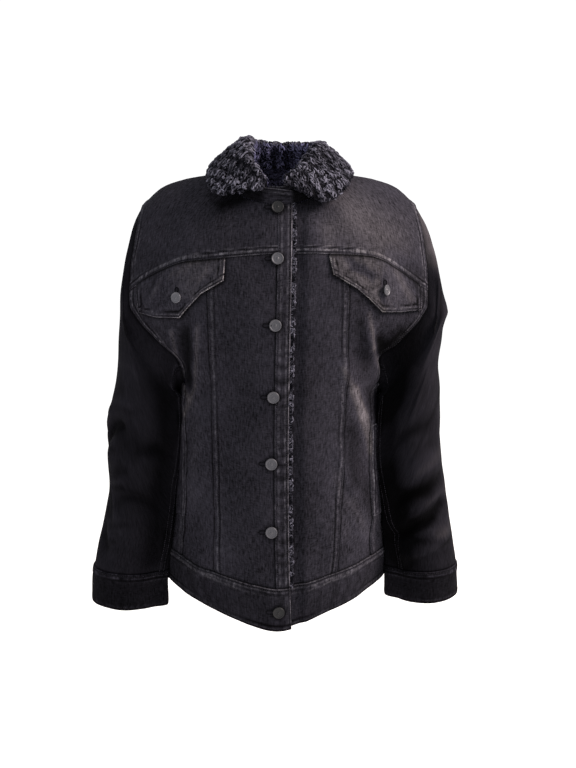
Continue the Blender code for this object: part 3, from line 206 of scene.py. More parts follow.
# Buttons down the front, from the top, and how much more than the others one is lifted from the cloth.
BUTTONS = table("x z more_lift", """
    -.001 -.051 .0005; -.001 -.121 0; -.004 -.212 0; -.007 -.312 0; -.01 -.407 0; -.01 -.505 0;
    0 -.622 0""")

# A button from its back edge over the rolled rim to the dot, in shares of its radius and thickness.
BUTTON_PROFILE = table("radius height", """
    .86 0; .97 .16; 1 .45; .985 .72; .95 .92; .9 1; .85 .96; .8 .84; .74 .76; .5 .74; .44 .8;
    .4 .74; .24 .74; .2 .86; .12 .94; .002 .97""")

# The flaps: a button's place on each, the outline of its free edges, and the top edge on the yoke seam.
FLAP_BUTTONS = {RIGHT: (0.141, -0.176), LEFT: (0.148, -0.166)}
FLAP_OUTLINE = tables(SIDES, "share x_top x_low z_low", """
        0 .073 .075 -.152; .25 .095 .107 -.17; .38 .115 .122 -.185; .5 .137 .138 -.204;
        .75 .17 .171 -.204; 1 .204 .2 -.2""", """
        0 .07 .076 -.143; .25 .094 .108 -.162; .38 .117 .126 -.177; .5 .142 .145 -.196;
        .75 .172 .173 -.197; 1 .205 .203 -.196""")
FLAP_DROP = 0.0002  # from the yoke seam to the flap's top edge
WELT = table("x z", ".1435 -.365; .145 -.5")
WELT_LINES = (0, 0.05, 0.14, 0.3, 0.5, 0.7, 0.86, 0.95, 1)  # grid lines across it
WELT_RELIEF, WELT_SINK = 0.6, 0.0009  # share of a full border's height, and how deep it lies in the fold
WELT_SWAY = 0.15  # share of the hem's sway that the welts have

STEP_SHARE, STEP_LEVEL, STEP_TURN, STEP_STATION = 0.004, 0.02, 0.003, 0.03  # for slopes of the surfaces
SHARE_STEPS, NEWTON_STEPS = 12, 10  # how often a place is corrected when it is looked for

# Sizes of the fine model -----------------------------------------------------------------------------

POINT_SPACING = 0.0042
EDGE_LINES = (0, 0.0006, 0.0018, 0.0040, 0.0070, 0.0100, 0.0125)  # grid lines near a border
LAP_RISE, LAP_WIDTH, EDGE_ROUND = 0.0009, 0.0105, 0.0009  # where one panel laps over the next
UNDER_REACH = 0.0015
QUIET_SHARE = 0.45  # of the wear of a lap, on seams that are rubbed less
SOFT_SHARE = 0.4  # of a full lap, where a seam hardly shows
NEEDLE_SINK = 0.00022  # a row of stitches draws the cloth in by this
# A sleeve that is nearer the torso than SNUG_REACH is drawn to it, below SNUG_TOP.
SNUG_CLEAR, SNUG_REACH, SNUG_TOP, SNUG_FADE = 0.0016, 0.030, -0.312, 0.014
SEAM_WALL = 0.12  # share of the wall's thickness that is left where a sleeve goes into its armhole
SEAM_WALL_END, SEAM_WALL_FADE = 6.0, 2.0  # to this station, and in this many more it gets its full thickness
LAP_SLOPE = 0.0025  # the far side of a lap goes down over this width
PUCKER, PATCH = 0.0105, 0.034  # lengths of a seam's puckers and of its rubbed patches
NEEDLE_WIDTH = 0.00095  # half the width of a row of needle marks
STITCH_LENGTH, STITCH_PITCH = 0.0026, 0.0033
# Rings of a stitch: places in shares of its length, with shares of its half width and of its rise.
STITCH_RINGS = ((-0.50, 0.3, -0.6), (-0.30, 0.9, 0.75), (0.0, 1.0, 1.0), (0.30, 0.9, 0.75), (0.50, 0.3, -0.6))
THREAD_HALF, THREAD_RISE = 0.00034, 0.00030
STITCH_ROWS = (0.0024, 0.0088)  # how far two rows of stitches are from the edge
PILE, BACKING_HALF = 0.0022, 0.0006  # how far the collar's backing is inside its solid, and its least half
VALLEY = 1.1  # how much of the collar's unevenness is in its shape, not in its tone
COLLAR_ALONG, COLLAR_ACROSS = 70, 46
ROLL_CREST, ROLL_OUT = 5 / 13, 8 / 13  # shares of the way across the collar, from the neck seam
CURL_POINTS, YARN_SIDES = 9, 5
CURL_RADIUS, YARN_RADIUS = (0.0017, 0.0030), (0.00105, 0.00150)
CURL_SLANT, CURL_TURN = 0.2, 0.42  # the way they lie and how much it varies, in radians
CURL_LEAN, CURL_SWEEP = (0.15, 1.1), (0.75, 1.5)  # out of the surface in radians, and round in half turns
CURL_UNEVEN = 0.20  # the collar's unevenness has waves of this share of the cloth's
# A curl's tone, painted light and shade: lighter by its height off its middle and by how far it faces out,
# darker in the hollow it is in and lighter on a rise, and varied by chance.
TIP_HEIGHT, TIP_BASE, TIP_FACING = 0.0026, 0.10, 0.38
HOLLOW, HOLLOW_TONES, CURL_TONES = 950, (0.12, 1.5), (0.35, 1.0)
CURLS_LEAF, CURLS_NECK, CURLS_PER_METRE = 9000, 7000, 420
CURLS_APART = 0.0030
FRINGE_CURLS = 620
FLAP_LIFT = 0.0016  # a flap's lower edge stands off by this
FLAP_SIZE = (0.128, 0.060)  # across and down, for its grid
FLAP_FOLD = 0.0014  # a whole fold of a flap
BUTTON_SIDES = 48
HOLE_OFFSET, HOLE_LENGTH, HOLE_HALF, HOLE_POINTS = 0.0115, 0.0100, 0.0024, 40
BUTTON_SHADE, BUTTON_RING = 0.75, 0.0026  # the cloth is darker in a ring round each button
CAP_LIGHT = {RIGHT: 0.0, LEFT: 4.2}  # painted light on the front of a sleeve's top, where the key light falls, to this level and this far back
CAP_LEVEL, CAP_FADE, CAP_BACK, CAP_TURN = -0.152, 0.045, 0.03, 0.05  # its height and depth, with their fades
BAND_TONE, BAND_TONE_MORE = 0.82, 0.38  # a waistband's tone at the hem, and how much more it is at its seam
# Pucker bars, painted light and shade with no height of their own: how they sway, the height they start at,
# and what the painted troughs and ridges do to the tone.
BAR_SWAY, BAR_WAVE, BAR_TOP, BAR_FADE, BAR_LIGHT_AND_SHADE = 0.20, 0.006, -0.16, 0.06, (1.25, 0.75)
BUTTON_TURN = {RIGHT: 0.0, LEFT: 0.55}  # the left flap's button is pulled round on its thread
SEAM_SHADOW, SHADOW_WIDTH = 0.78, 0.0034  # the dark under a flap's edge
SATIN_WIDTH, SATIN_RISE = 0.0011, 0.0006
SATIN_RINGS = ((0.0, 0.25), (0.55, 1.0), (1.1, 0.9), (1.6, 0.0), (1.4, -0.6))  # in shares of those two
RANDOM = np.random.default_rng(7)
PANELS = {}  # the grid of points and normals of each panel that is made

# Waves of the cloth's own unevenness.
RUMPLE = table("wave_x wave_y wave_z phase height", """
    .11 .17 .29 .4 .0006; -.09 .13 .16 2.1 .0005; .06 -.11 .09 4 .00038; -.047 .09 .071 1.2 .00028;
    .034 .06 -.052 5.3 .0002; .21 -.26 .055 3 .00026""")

FOLD_FULL = 0.005  # the height that counts as a whole fold
# Painted light and shade of folds: how much a whole fold lightens its ridge and darkens its trough, and how
# many of them are counted at most.
TORSO_FOLD_SHADE, SLEEVE_FOLD_SHADE, FLAP_FOLD_SHADE = (0.22, 1.2), (0.50, 1.4), (0.50, 1.2)

# Narrow creases: a trough below zero with a ridge beside it, bowed by a share of its length.
CREASE_TAPER = 0.8
RIDGE_SHARE, RIDGE_AWAY = 0.45, 1.9  # the ridge's height and place, in shares of the trough's
TORSO_CREASES = tables(HALVES, "x0 z0 x1 z1 width height bow", """
        -.13 -.206 -.129 -.3 .005 -.0022 .06; -.112 -.25 -.127 -.34 .0055 .0018 -.05;
        -.126 -.34 -.146 -.41 .006 .0016 .04; -.152 -.4 -.118 -.452 .0055 -.0013 .05;
        -.088 -.36 -.062 -.44 .006 -.001 .05; -.08 -.49 -.048 -.56 .006 .001 -.05;
        -.15 -.505 -.115 -.545 .0055 -.0014 .05; .122 -.196 .146 -.29 .0055 .002 .04;
        .14 -.215 .137 -.262 .0045 -.0018 -.04; .092 -.262 .128 -.345 .0055 .0017 .06;
        .104 -.3 .137 -.362 .005 -.0014 -.05; .082 -.378 .121 -.478 .006 .0018 .05;
        .07 -.42 .098 -.5 .0055 -.0012 .04; .118 -.4 .134 -.47 .006 -.0012 .04;
        .052 -.31 .04 -.4 .0065 -.0009 .05; .048 -.47 .078 -.555 .006 .001 -.05""", """
        -.15 -.215 -.118 -.31 .0055 .0019 .05; .146 -.21 .116 -.305 .0055 .0018 -.05;
        -.14 -.335 -.06 -.372 .006 -.0014 .06; .138 -.345 .055 -.39 .006 -.0015 -.05;
        -.1 -.42 .015 -.44 .0065 -.0012 .04; .09 -.45 .01 -.48 .006 .0011 .05;
        -.112 -.52 -.072 -.44 .006 .0013 -.04; .108 -.53 .082 -.455 .006 .0012 .05""")
SLEEVE_CREASES = tables(SIDES, "u0 v0 u1 v1 width height bow", """
        .01 .345 .062 .285 .0055 -.0036 .08; .018 .3 .07 .25 .006 .0026 .05;
        .016 .385 .055 .44 .0055 -.003 -.06; .04 .235 .085 .3 .0055 -.0022 .05;
        .01 .425 .06 .47 .0055 .0022 .05; .118 .25 .078 .31 .006 -.0024 .06;
        .105 .37 .05 .4 .0055 -.0026 -.06; .05 .14 .08 .21 .006 .002 .05;
        .345 .35 .285 .295 .006 -.0032 .06; .25 .29 .305 .35 .006 -.0028 .05;
        .33 .41 .28 .45 .0055 -.0026 .05; .29 .18 .325 .24 .006 .002 .05;
        .2 .33 .15 .36 .006 -.0026 .05""", """
        .128 .425 .035 .405 .0055 -.0042 .08; .12 .355 .022 .378 .0055 -.0034 .06;
        .118 .395 .05 .385 .0055 .0022 .05; .124 .47 .045 .455 .0055 .0024 .05;
        .02 .165 .06 .13 .0055 .0028 .05; .112 .24 .05 .29 .006 -.0026 .05;
        .105 .3 .03 .33 .006 -.0024 -.06; .06 .19 .095 .25 .006 .0018 .05;
        .335 .365 .272 .31 .006 -.0032 .06; .25 .365 .31 .415 .006 -.0028 .05;
        .325 .255 .265 .275 .006 -.0024 .05; .2 .4 .14 .38 .006 -.0028 .05;
        .29 .15 .32 .215 .006 .002 .05""")
FLAP_CREASES = tables(SIDES, "x0 z0 x1 z1 width height bow", """
        .096 -.132 .124 -.16 .0055 .0012 .05; .165 -.15 .186 -.185 .0055 .0012 .05;
        .118 -.176 .146 -.19 .005 -.0009 .05""", """
        .088 -.116 .126 -.139 .0055 -.0016 .05; .1 -.142 .13 -.16 .0055 .0012 .05;
        .14 -.14 .134 -.182 .0055 .0012 .05""")

# Where the cloth is lighter or darker, in strokes: the height is a share of its own tone. On the torso they
# are part wash and part painted light and shade, such as painted shadows under the collar's leaves and round
# the flaps and painted highlights along the edges of folds.
TORSO_LEAST, SLEEVE_LEAST, FLAP_LEAST, COLLAR_LEAST = 0.12, 0.15, 0.3, 0.2  # what all the strokes leave of it
WASH_AND_SHADE = table("x0 z0 x1 z1 width height", """
    .095 -.055 .15 -.095 .052 1.35; -.152 -.225 -.145 -.298 .0042 1.3;
    -.145 -.298 -.131 -.325 .0042 1.3; -.113 -.213 -.12 -.3 .0042 .9;
    -.12 -.305 -.138 -.35 .0042 1.1; -.138 -.35 -.154 -.431 .005 .7;
    -.13 -.222 -.133 -.3 .0095 -.65; -.119 -.34 -.122 -.4 .013 .22; -.127 -.42 -.136 -.49 .013 .25;
    -.06 -.515 0 -.535 .03 -.18; -.035 -.3 -.03 -.46 .035 -.1; .128 -.198 .137 -.248 .0042 1.3;
    .137 -.248 .15 -.288 .0042 1.3; .114 -.213 .126 -.276 .01 -.45; .152 -.254 .178 -.232 .012 -1.1;
    .144 -.236 .156 -.272 .0065 -.9; .09 -.275 .108 -.309 .006 .8; .108 -.309 .123 -.348 .0066 2.4;
    .123 -.348 .137 -.4 .008 1.9; .137 -.4 .141 -.465 .007 .8; .13 -.312 .142 -.352 .0065 -.4;
    .104 -.366 .11 -.44 .013 -.5; .084 -.43 .098 -.52 .012 .5; .067 -.058 .07 -.11 .013 .5;
    .158 -.113 .205 -.148 .01 -.5; .101 -.135 .132 -.146 .0046 -.45; .165 -.14 .188 -.18 .0046 .4;
    .18 -.142 .212 -.18 .008 -.5; .03 -.25 .03 -.48 .022 -.22; .024 -.03 .07 -.058 .015 -.85;
    -.08 -.048 -.024 -.03 .01 -.8; -.06 -.1 -.02 -.13 .03 -.12; .03 -.05 .04 -.13 .02 -.25;
    .152 -.5 .156 -.56 .01 .6; .106 -.47 .132 -.53 .0085 .45; .128 -.455 .136 -.5 .0065 -.35;
    -.13 -.585 -.03 -.605 .026 -.18""")
# Painted light and shade on the flaps: dark shadows by their edges and corners, light and dark along creases.
FLAP_LIGHT_AND_SHADE = tables(SIDES, "x0 z0 x1 z1 width height", """
        .112 -.124 .15 -.146 .006 .22; .172 -.15 .184 -.18 .005 -.35;
        .104 -.14 .118 -.158 .004 -.25; .15 -.178 .172 -.19 .004 -.25""", """
        .101 -.135 .132 -.146 .0046 -.5; .092 -.122 .14 -.134 .006 .25;
        .165 -.14 .188 -.18 .0046 .5; .186 -.142 .212 -.18 .0085 -.65;
        .147 -.146 .144 -.182 .004 -.35; .12 -.162 .148 -.192 .0045 .35""")
# Painted light and shade on the sleeves: darker towards the torso and in the troughs of folds, lighter on
# ridges.
SLEEVE_LIGHT_AND_SHADE = tables(SIDES, "u0 v0 u1 v1 width height", """
        .125 .12 .125 .48 .026 -.7; .03 .33 .05 .47 .016 .35; .05 .12 .04 .22 .02 .2;
        .014 .342 .04 .318 .005 .8; .018 .385 .07 .345 .007 -.45; .038 .436 .042 .456 .005 .7;
        .012 .35 .045 .332 .004 -.4; .01 .401 .062 .373 .004 -.4; .016 .393 .066 .365 .004 .4;
        .026 .447 .083 .424 .004 -.3; .042 .387 .093 .364 .004 -.3; .008 .462 .06 .458 .004 -.4;
        .02 .29 .07 .255 .005 -.35; .024 .23 .075 .19 .005 .3""", """
        .11 .02 .125 .15 .026 -.8; .03 .12 .06 .14 .014 -.55; .07 .17 .03 .21 .01 .35;
        .13 .12 .13 .48 .016 -.6; .116 .385 .118 .49 .026 -.6; .15 .3 .15 .49 .03 -.55;
        .122 .35 .066 .374 .013 -.75; .122 .414 .062 .421 .007 -.65; .118 .438 .04 .463 .007 -.5;
        .085 .34 .025 .348 .012 .8; .07 .398 .025 .396 .011 .55; .062 .446 .014 .45 .012 .8;
        .02 .29 .012 .48 .01 .45; .1 .387 .015 .398 .004 .4; .113 .405 .004 .415 .004 -.4;
        .076 .35 .004 .361 .004 -.35; .064 .465 .004 .459 .004 -.4; .085 .3 .02 .268 .005 -.35;
        .08 .25 .03 .225 .005 .3""")
# Painted light and shade on the collar's curls: darker along the lower edges of the leaves and in places
# across them.
COLLAR_LIGHT_AND_SHADE = table("x0 z0 x1 z1 width height", """
    .02 -.018 .068 -.046 .011 -.5; .045 .022 .078 .014 .016 -.3; .06 -.012 .078 -.026 .012 .25;
    -.056 .008 -.038 -.006 .009 -.55; -.09 .012 -.07 .03 .014 -.3; -.088 -.022 -.045 -.018 .008 .25;
    -.08 -.04 -.05 -.036 .006 -.45""")
STAND_POINTS = (36, 150, 16)  # grid lines along the stand: right end, neck and left end
STAND_RELIEF, STAND_WEAR = 0.4, 0.7  # shares of a full border's height and wear
# The stand is in shadow from this far off the centre, with this fade, by this share.
STAND_SHADE = {LEFT: (0.0165, 0.006, 0.85), RIGHT: (0.016, 0.010, 0.75)}
FLAP_TONE = {RIGHT: 1.65, LEFT: 2.00}
# A flap is lighter towards the front by FLAP_NEAR and darker past FLAP_MIDDLE, with uneven bars.
FLAP_NEAR, FLAP_FALL, FLAP_MIDDLE, FLAP_FADE, FLAP_RIPPLE = 1.15, 0.35, 0.115, 0.05, 0.16
WELT_TONE, WELT_WEAR = {RIGHT: 1.0, LEFT: 1.2}, {RIGHT: 0.35, LEFT: 0.9}

# Finishes --------------------------------------------------------------------------------------------


class Finish:
    """A material in the making, with short ways to add and join its nodes."""

    def __init__(self, name, roughness, **constants):
        self.material = bpy.data.materials.new(name)
        self.material.use_nodes = True
        self.tree = self.material.node_tree
        self.shader = self.tree.nodes["Principled BSDF"]
        self.shader.inputs["Roughness"].default_value = roughness
        for socket, value in constants.items():
            self.shader.inputs[socket.replace("_", " ")].default_value = value

    def node(self, kind, **settings):
        made = self.tree.nodes.new("ShaderNode" + kind)
        for name, value in settings.items():
            setattr(made, name, value)
        return made

    def join(self, value, socket):
        """Joins an output to a socket, or sets the socket to a number."""
        if isinstance(value, (int, float)):
            socket.default_value = value
        else:
            self.tree.links.new(value, socket)

    def math(self, operation, first, second=0.0, clamp=False):
        made = self.node("Math", operation=operation, use_clamp=clamp)
        self.join(first, made.inputs[0])
        self.join(second, made.inputs[1])
        return made.outputs[0]

    def times(self, first, second, clamp=False):
        return self.math("MULTIPLY", first, second, clamp)

    def plus(self, first, second):
        return self.math("ADD", first, second)

    def attribute(self, name):
        return self.node("Attribute", attribute_name=name).outputs["Fac"]

    def noise(self, source, scale, detail=2.0, roughness=0.5):
        """Noise between about 0.2 and 0.8, with a wavelength in metres along each axis."""
        place = self.node("Mapping")
        place.inputs["Scale"].default_value = [1 / size for size in scale]
        self.join(self.node("TexCoord").outputs[source], place.inputs["Vector"])
        made = self.node("TexNoise")
        made.inputs["Scale"].default_value = 1
        made.inputs["Detail"].default_value = detail
        made.inputs["Roughness"].default_value = roughness
        self.join(place.outputs[0], made.inputs["Vector"])
        return made.outputs["Fac"]

    def blend(self, share, first, second):
        """A colour between two, each given as three numbers or as an output."""
        made = self.node("Mix", data_type="RGBA")
        self.join(share, made.inputs["Factor"])
        for value, socket in ((first, made.inputs[6]), (second, made.inputs[7])):
            if isinstance(value, tuple):
                socket.default_value = (*value, 1)
            else:
                self.join(value, socket)
        return made.outputs[2]

    def bump(self, height, distance, strength):
        made = self.node("Bump")
        made.inputs["Distance"].default_value = distance
        made.inputs["Strength"].default_value = strength
        self.join(height, made.inputs["Height"])
        self.join(made.outputs[0], self.shader.inputs["Normal"])

    def paint(self, colour):
        self.join(colour, self.shader.inputs["Base Color"])
        return self.material


def grey(value, tint=(1.0, 0.945, 1.26)):
    return tuple(value * share for share in tint)


def denim(name, base, edge_marks, grain_strength=1.1, sheen=0.03):
    """Washed denim: fine upright slubs, a mottled wash, and seams that are rubbed lighter.
    The attribute of its wear also carries painted shadows past the laps, and that of its tone painted light
    and shade.
    """
    made = Finish(name, 0.95, Specular_IOR_Level=sheen)
    slub = made.noise("UV", (0.0022, 0.0105, 1), 2.0, 0.6)
    grain = made.noise("UV", (0.0060, 0.0020, 1), 1.0, 0.5)
    wash_and_shading = made.noise("Object", (0.050, 0.050, 0.075), 3.0, 0.55)
    rub = made.noise("Object", (0.0040, 0.0040, 0.0048), 2.0, 0.6)
    share = made.plus(made.times(slub, 2.4), made.times(grain, 1.2))
    share = made.times(share, grain_strength)
    share = made.plus(share, made.times(wash_and_shading, 1.2))
    share = made.plus(share, 0.4 - 1.8 * grain_strength)
    share = made.math("MAXIMUM", share, 0.25)
    tone = made.times(share, made.attribute("tone"))
    rubbed = made.math("SUBTRACT", made.times(rub, 4.0), 1.15)
    rubbed = made.times(made.attribute("wear"), rubbed, clamp=True)
    # Dark where the marks are below zero: the needle rows, and painted shadows past the laps' edges.
    hollow = made.times(made.attribute("wear"), -0.95, clamp=True)
    colour = made.blend(hollow, made.blend(rubbed, base, edge_marks), grey(0.0015))
    scaled = made.node("VectorMath", operation="SCALE")
    made.join(colour, scaled.inputs[0])
    made.join(tone, scaled.inputs["Scale"])
    # Warmer where the tone is high, so that the strokes of painted light are warm as well.
    warmth = made.math("SUBTRACT", made.times(made.attribute("tone"), 0.8), 1.0, clamp=True)
    warmed = made.node("VectorMath", operation="MULTIPLY")
    made.join(scaled.outputs[0], warmed.inputs[0])
    made.join(made.blend(warmth, (1.0, 1.0, 1.0), (1.03, 0.99, 0.84)), warmed.inputs[1])
    made.bump(made.plus(slub, grain), 0.0006, 0.6)
    return made.paint(warmed.outputs[0])


def pile(name, deep, high):
    """Sherpa yarn: painted light on the tops of its curls and painted shade between them."""
    made = Finish(name, 1.0, Specular_IOR_Level=0.03)
    fuzz = made.noise("Object", (0.0016, 0.0016, 0.0016), 2.0, 0.6)
    fuzz_share = made.plus(made.times(fuzz, 0.5), 0.72)
    share = made.times(made.attribute("tip"), fuzz_share, clamp=True)
    share = made.math("POWER", share, 1.5)
    made.bump(fuzz, 0.0006, 0.5)
    return made.paint(made.blend(share, deep, high))


def knitted(name, deep, high):
    """The sherpa lining inside, whose curls are too small to model: rows of knobs as a bump."""
    made = Finish(name, 1.0, Specular_IOR_Level=0.03)
    knobs = made.noise("UV", (0.0046, 0.0038, 1), 2.0, 0.6)
    share = made.times(made.math("SUBTRACT", knobs, 0.36), 3.4, clamp=True)
    made.bump(knobs, 0.0030, 0.9)
    return made.paint(made.blend(share, deep, high))


def plain_finish(name, colour, roughness, **constants):
    made = Finish(name, roughness, **constants)
    made.shader.inputs["Base Color"].default_value = (*colour, 1)
    return made.material


def thread(name):
    made = Finish(name, 0.8, Specular_IOR_Level=0.1)
    return made.paint(made.blend(made.attribute("tip"), grey(0.009), grey(0.030)))


STEEL = (1.0, 0.99, 1.14)  # the buttons' slightly blue grey


def gunmetal(name, tone):
    made = Finish(name, 0.5, Metallic=0.55)
    speck = made.noise("Object", (0.0012, 0.0012, 0.0012), 2.0)
    return made.paint(made.blend(speck, grey(0.6 * tone, STEEL), grey(1.4 * tone, STEEL)))


DENIM = denim("denim", grey(0.0134), grey(0.075, (1.0, 0.96, 1.12)))
SLEEVE_DENIM = denim("denim_sleeves", grey(0.0064), grey(0.024), 0.75, 0.02)
CUFF_DENIM = denim("denim_cuffs", grey(0.0036), grey(0.022), 1.15, 0.02)
LINING = knitted("lining", grey(0.004), grey(0.060, (1.0, 0.97, 1.70)))
SHERPA = pile("sherpa", grey(0.0022, (1.0, 1.0, 1.6)), grey(0.112, (0.99, 0.97, 1.25)))
SHERPA_INSIDE = pile("sherpa_inside", grey(0.0095, (1.0, 1.0, 1.9)), grey(0.100, (1.0, 0.97, 1.75)))
# Near black: painted shade in the gaps between the curls that cover it. The sleeves are lined with it too.
SHERPA_BACK = plain_finish("sherpa_backing", grey(0.003), 1.0, Specular_IOR_Level=0.05)
THREAD = thread("thread")
GUNMETAL, DARK_METAL = gunmetal("gunmetal", 0.056), gunmetal("gunmetal_dark", 0.007)
LIGHT_METAL = gunmetal("gunmetal_light", 0.082)
SLIT = plain_finish("slit", grey(0.009), 1.0, Specular_IOR_Level=0.03)
HOLE_THREAD = plain_finish("hole_thread", grey(0.0032), 1.0, Specular_IOR_Level=0.03)


# Curves ----------------------------------------------------------------------------------------------


def through(rows, column, at):
    """A smooth curve through one column of a table, read at values of the table's first column."""
    keys = next(iter(rows.values()))
    values = rows[column]
    slopes = np.gradient(values, keys)
    at = np.asarray(at, float)
    i = np.clip(np.searchsorted(keys, at, side="right") - 1, 0, len(keys) - 2)
    span = keys[i + 1] - keys[i]
    return hermite(values[i], slopes[i] * span, values[i + 1], slopes[i + 1] * span, (at - keys[i]) / span)


def hermite(start, start_slope, end, end_slope, t):
    return (
        (2 * t**3 - 3 * t**2 + 1) * start
        + (t**3 - 2 * t**2 + t) * start_slope
        + (3 * t**2 - 2 * t**3) * end
        + (t**3 - t**2) * end_slope
    )


def ease(t):
    t = np.clip(t, 0, 1)
    return t * t * (3 - 2 * t)


def unit(vectors):
    return vectors / np.maximum(np.linalg.norm(vectors, axis=-1, keepdims=True), 1e-12)


def stack(x, y, z):
    return np.stack(np.broadcast_arrays(x, y, z), axis=-1).astype(float)


def pair(first, second):
    """Two values as arrays of one shape."""
    return np.broadcast_arrays(np.asarray(first, float), np.asarray(second, float))


def run(points):
    """The distance of each point of a line from its start, along the line."""
    return np.concatenate([[0], np.cumsum(np.linalg.norm(np.diff(points, axis=0), axis=1))])


def read_line(at, length, values):
    """What a line's points have, read at distances from its start."""
    return np.stack([np.interp(at, length, values[:, k]) for k in range(3)], axis=1)


def off_line(u, v, u0, v0, u1, v1):
    """How far the points (u, v) are from a straight line between two others."""
    along = np.array((u1 - u0, v1 - v0))
    share = np.clip(((u - u0) * along[0] + (v - v0) * along[1]) / (along @ along), 0, 1)
    return np.hypot(u - u0 - share * along[0], v - v0 - share * along[1])


def bump_at(distance, place, width):
    return np.exp(-(((distance - place) / width) ** 2))


def folds(rows, u, v):
    """The height of all the folds of a table at the points (u, v)."""
    total = np.zeros(np.shape(u))
    for *ends, width, height in zip(*rows.values()):
        total += height * bump_at(off_line(u, v, *ends), 0, width)
    return total


# The torso -------------------------------------------------------------------------------------------


def section(half, share, level):
    """A point of the torso below the yoke seam, on the side of positive x, with its outward direction."""
    edge = {}
    for axis in "xyz":
        low = through(SIDE, axis, np.minimum(level, UNDERARM))
        high = through(ARMHOLE[half], axis, np.maximum(level, UNDERARM))
        edge[axis] = np.where(level < UNDERARM, low, high)
    arc = np.radians(through(ROUND[half], "arc", level))
    mid_y = through(CENTRE[half], "y", level)
    mid_z = through(CENTRE[half], "z", level)
    near_yoke = ease((level - 6) / (YOKE - 6))
    near_hem = ease((2.5 - level) / 1.5)
    hem_drop = through(HEM_DROP, "drop", share) if half == "front" else (1 - np.cos(math.pi * share)) / 2
    drop = (1 - near_yoke - near_hem) * share**2 + near_hem * hem_drop
    drop = drop + near_yoke * through(YOKE_DROP, "drop", share)
    bend = share * arc
    x = edge["x"] * np.sin(bend) / np.sin(arc)
    y = mid_y + (edge["y"] - mid_y) * (1 - np.cos(bend)) / (1 - np.cos(arc))
    z = mid_z + (edge["z"] - mid_z) * drop
    facing = -1 if half == "front" else 1
    return stack(x, y, z), stack(np.sin(bend), facing * np.cos(bend), 0)


def rim(half, share):
    """The top edge of a yoke: neckline, then shoulder seam."""
    angle = np.clip(share / NECK_SHARE, -1, 1) * math.pi / 2
    depth, rise = (-NECK_FRONT, NECK_DIP_FRONT) if half == "front" else (NECK_BACK, NECK_RISE_BACK)
    neck = stack(NECK_HALF * np.sin(angle), depth * np.cos(angle), rise * np.cos(angle))
    along = (share - NECK_SHARE) / (1 - NECK_SHARE)
    shoulder = stack(through(SHOULDER, "x", along), 0, through(SHOULDER, "z", along))
    return np.where((share > NECK_SHARE)[..., None], shoulder, neck)


def half_torso(half, share, level):
    """A point of the torso on the side of positive x, and its outward direction."""
    facing = -1 if half == "front" else 1
    low, outward = section(half, share, np.minimum(level, YOKE))
    seam, _ = section(half, share, np.full_like(level, YOKE))
    under, _ = section(half, share, np.full_like(level, YOKE - YOKE_SLOPE_LEVEL))
    top = rim(half, share)
    reach = np.linalg.norm(top - seam, axis=-1, keepdims=True)
    to_shoulder = ease(np.abs(share) / NECK_SHARE)
    lean_out = LEAN_OUT + LEAN_OUT_MORE * to_shoulder
    lean = unit(stack(0, -facing * lean_out, 1.0 - LEAN_UP_LESS * to_shoulder))
    t = np.clip(level - YOKE, 0, YOKE_OVERRUN)[..., None]
    leaving = unit(seam - under) * reach * YOKE_PULL_LOW
    high = hermite(seam, leaving, top, lean * reach * YOKE_PULL_HIGH, t)
    point = np.where((level > YOKE)[..., None], high, low)
    outward = unit(outward + stack(0, 0, YOKE_FACING_UP * to_shoulder) * t)
    return point, outward


def torso(side, half, share, level):
    """A point of the torso's outer face, with folds and with the left front's underlap."""
    share, level = pair(share, level)
    point, outward = half_torso(half, share, level)
    mirror = np.array((side, 1, 1))
    point, outward = point * mirror, outward * mirror
    point = point + stack(sway_at(level), 0, sag_at(side, half, share, level))
    lift = folds(TORSO_FOLDS[half], point[..., 0], point[..., 2])
    if half == "front" and side == LEFT:
        edge = through(PLACKET_EDGE, "x", level)
        lift = lift - LAP_DEPTH * ease((edge + LAP_END - point[..., 0]) / (LAP_END - LAP_FULL))
    return point + outward * lift[..., None]


def torso_normal(side, half, share, level):
    """The outward normal, which front and back share along the shoulder seam."""
    share, level = pair(share, level)
    own = facing_out(side, half, share, level)
    other = facing_out(side, "back" if half == "front" else "front", share, level)
    shared = ease((level - TOP + 0.25) / 0.25) * ease((np.abs(share) - NECK_SHARE + 0.1) / 0.1)
    return unit(own + unit(other) * shared[..., None])


def facing_out(side, half, share, level):
    low, high = np.maximum(level - STEP_LEVEL, 0), np.minimum(level + STEP_LEVEL, TOP)
    across = torso(side, half, share + STEP_SHARE, level) - torso(side, half, share - STEP_SHARE, level)
    up = torso(side, half, share, high) - torso(side, half, share, low)
    facing = side if half == "front" else -side
    return unit(np.cross(across, up)) * facing


def sag_at(side, half, share, level):
    """How far the yoke seam's neighbourhood bows down on the wearer's right front."""
    if half == "back" or side == LEFT:
        return np.zeros_like(level)
    near = np.clip(1 - ((share - YOKE_SAG_SHARE) / YOKE_SAG_SHARE) ** 2, 0, 1) ** 2
    return -YOKE_SAG * near * np.clip(1 - (level - YOKE) ** 2, 0, 1) ** 2


def sway_at(level):
    """How far the torso swings sideways below the underarm."""
    return HEM_SWAY * np.clip(1 - level / UNDERARM, 0, 1) ** 2


def off_edge(side, x):
    """0 along the front's edge, where the layers stay level, and 1 away from it."""
    return ease((side * x + 0.03) / 0.05)


def share_of(half, level, x):
    """The share at this distance from the centre line, negative past it."""
    level, x = pair(level, x)
    target = np.where(np.abs(x) < 1e-6, 1e-6, x)
    share = target / 0.2
    for _ in range(SHARE_STEPS):
        share = share * target / half_torso(half, share, level)[0][..., 0]
    return share


def share_at(side, level, x):
    """The share of the front at this signed X."""
    return share_of("front", level, side * (x - sway_at(level)))


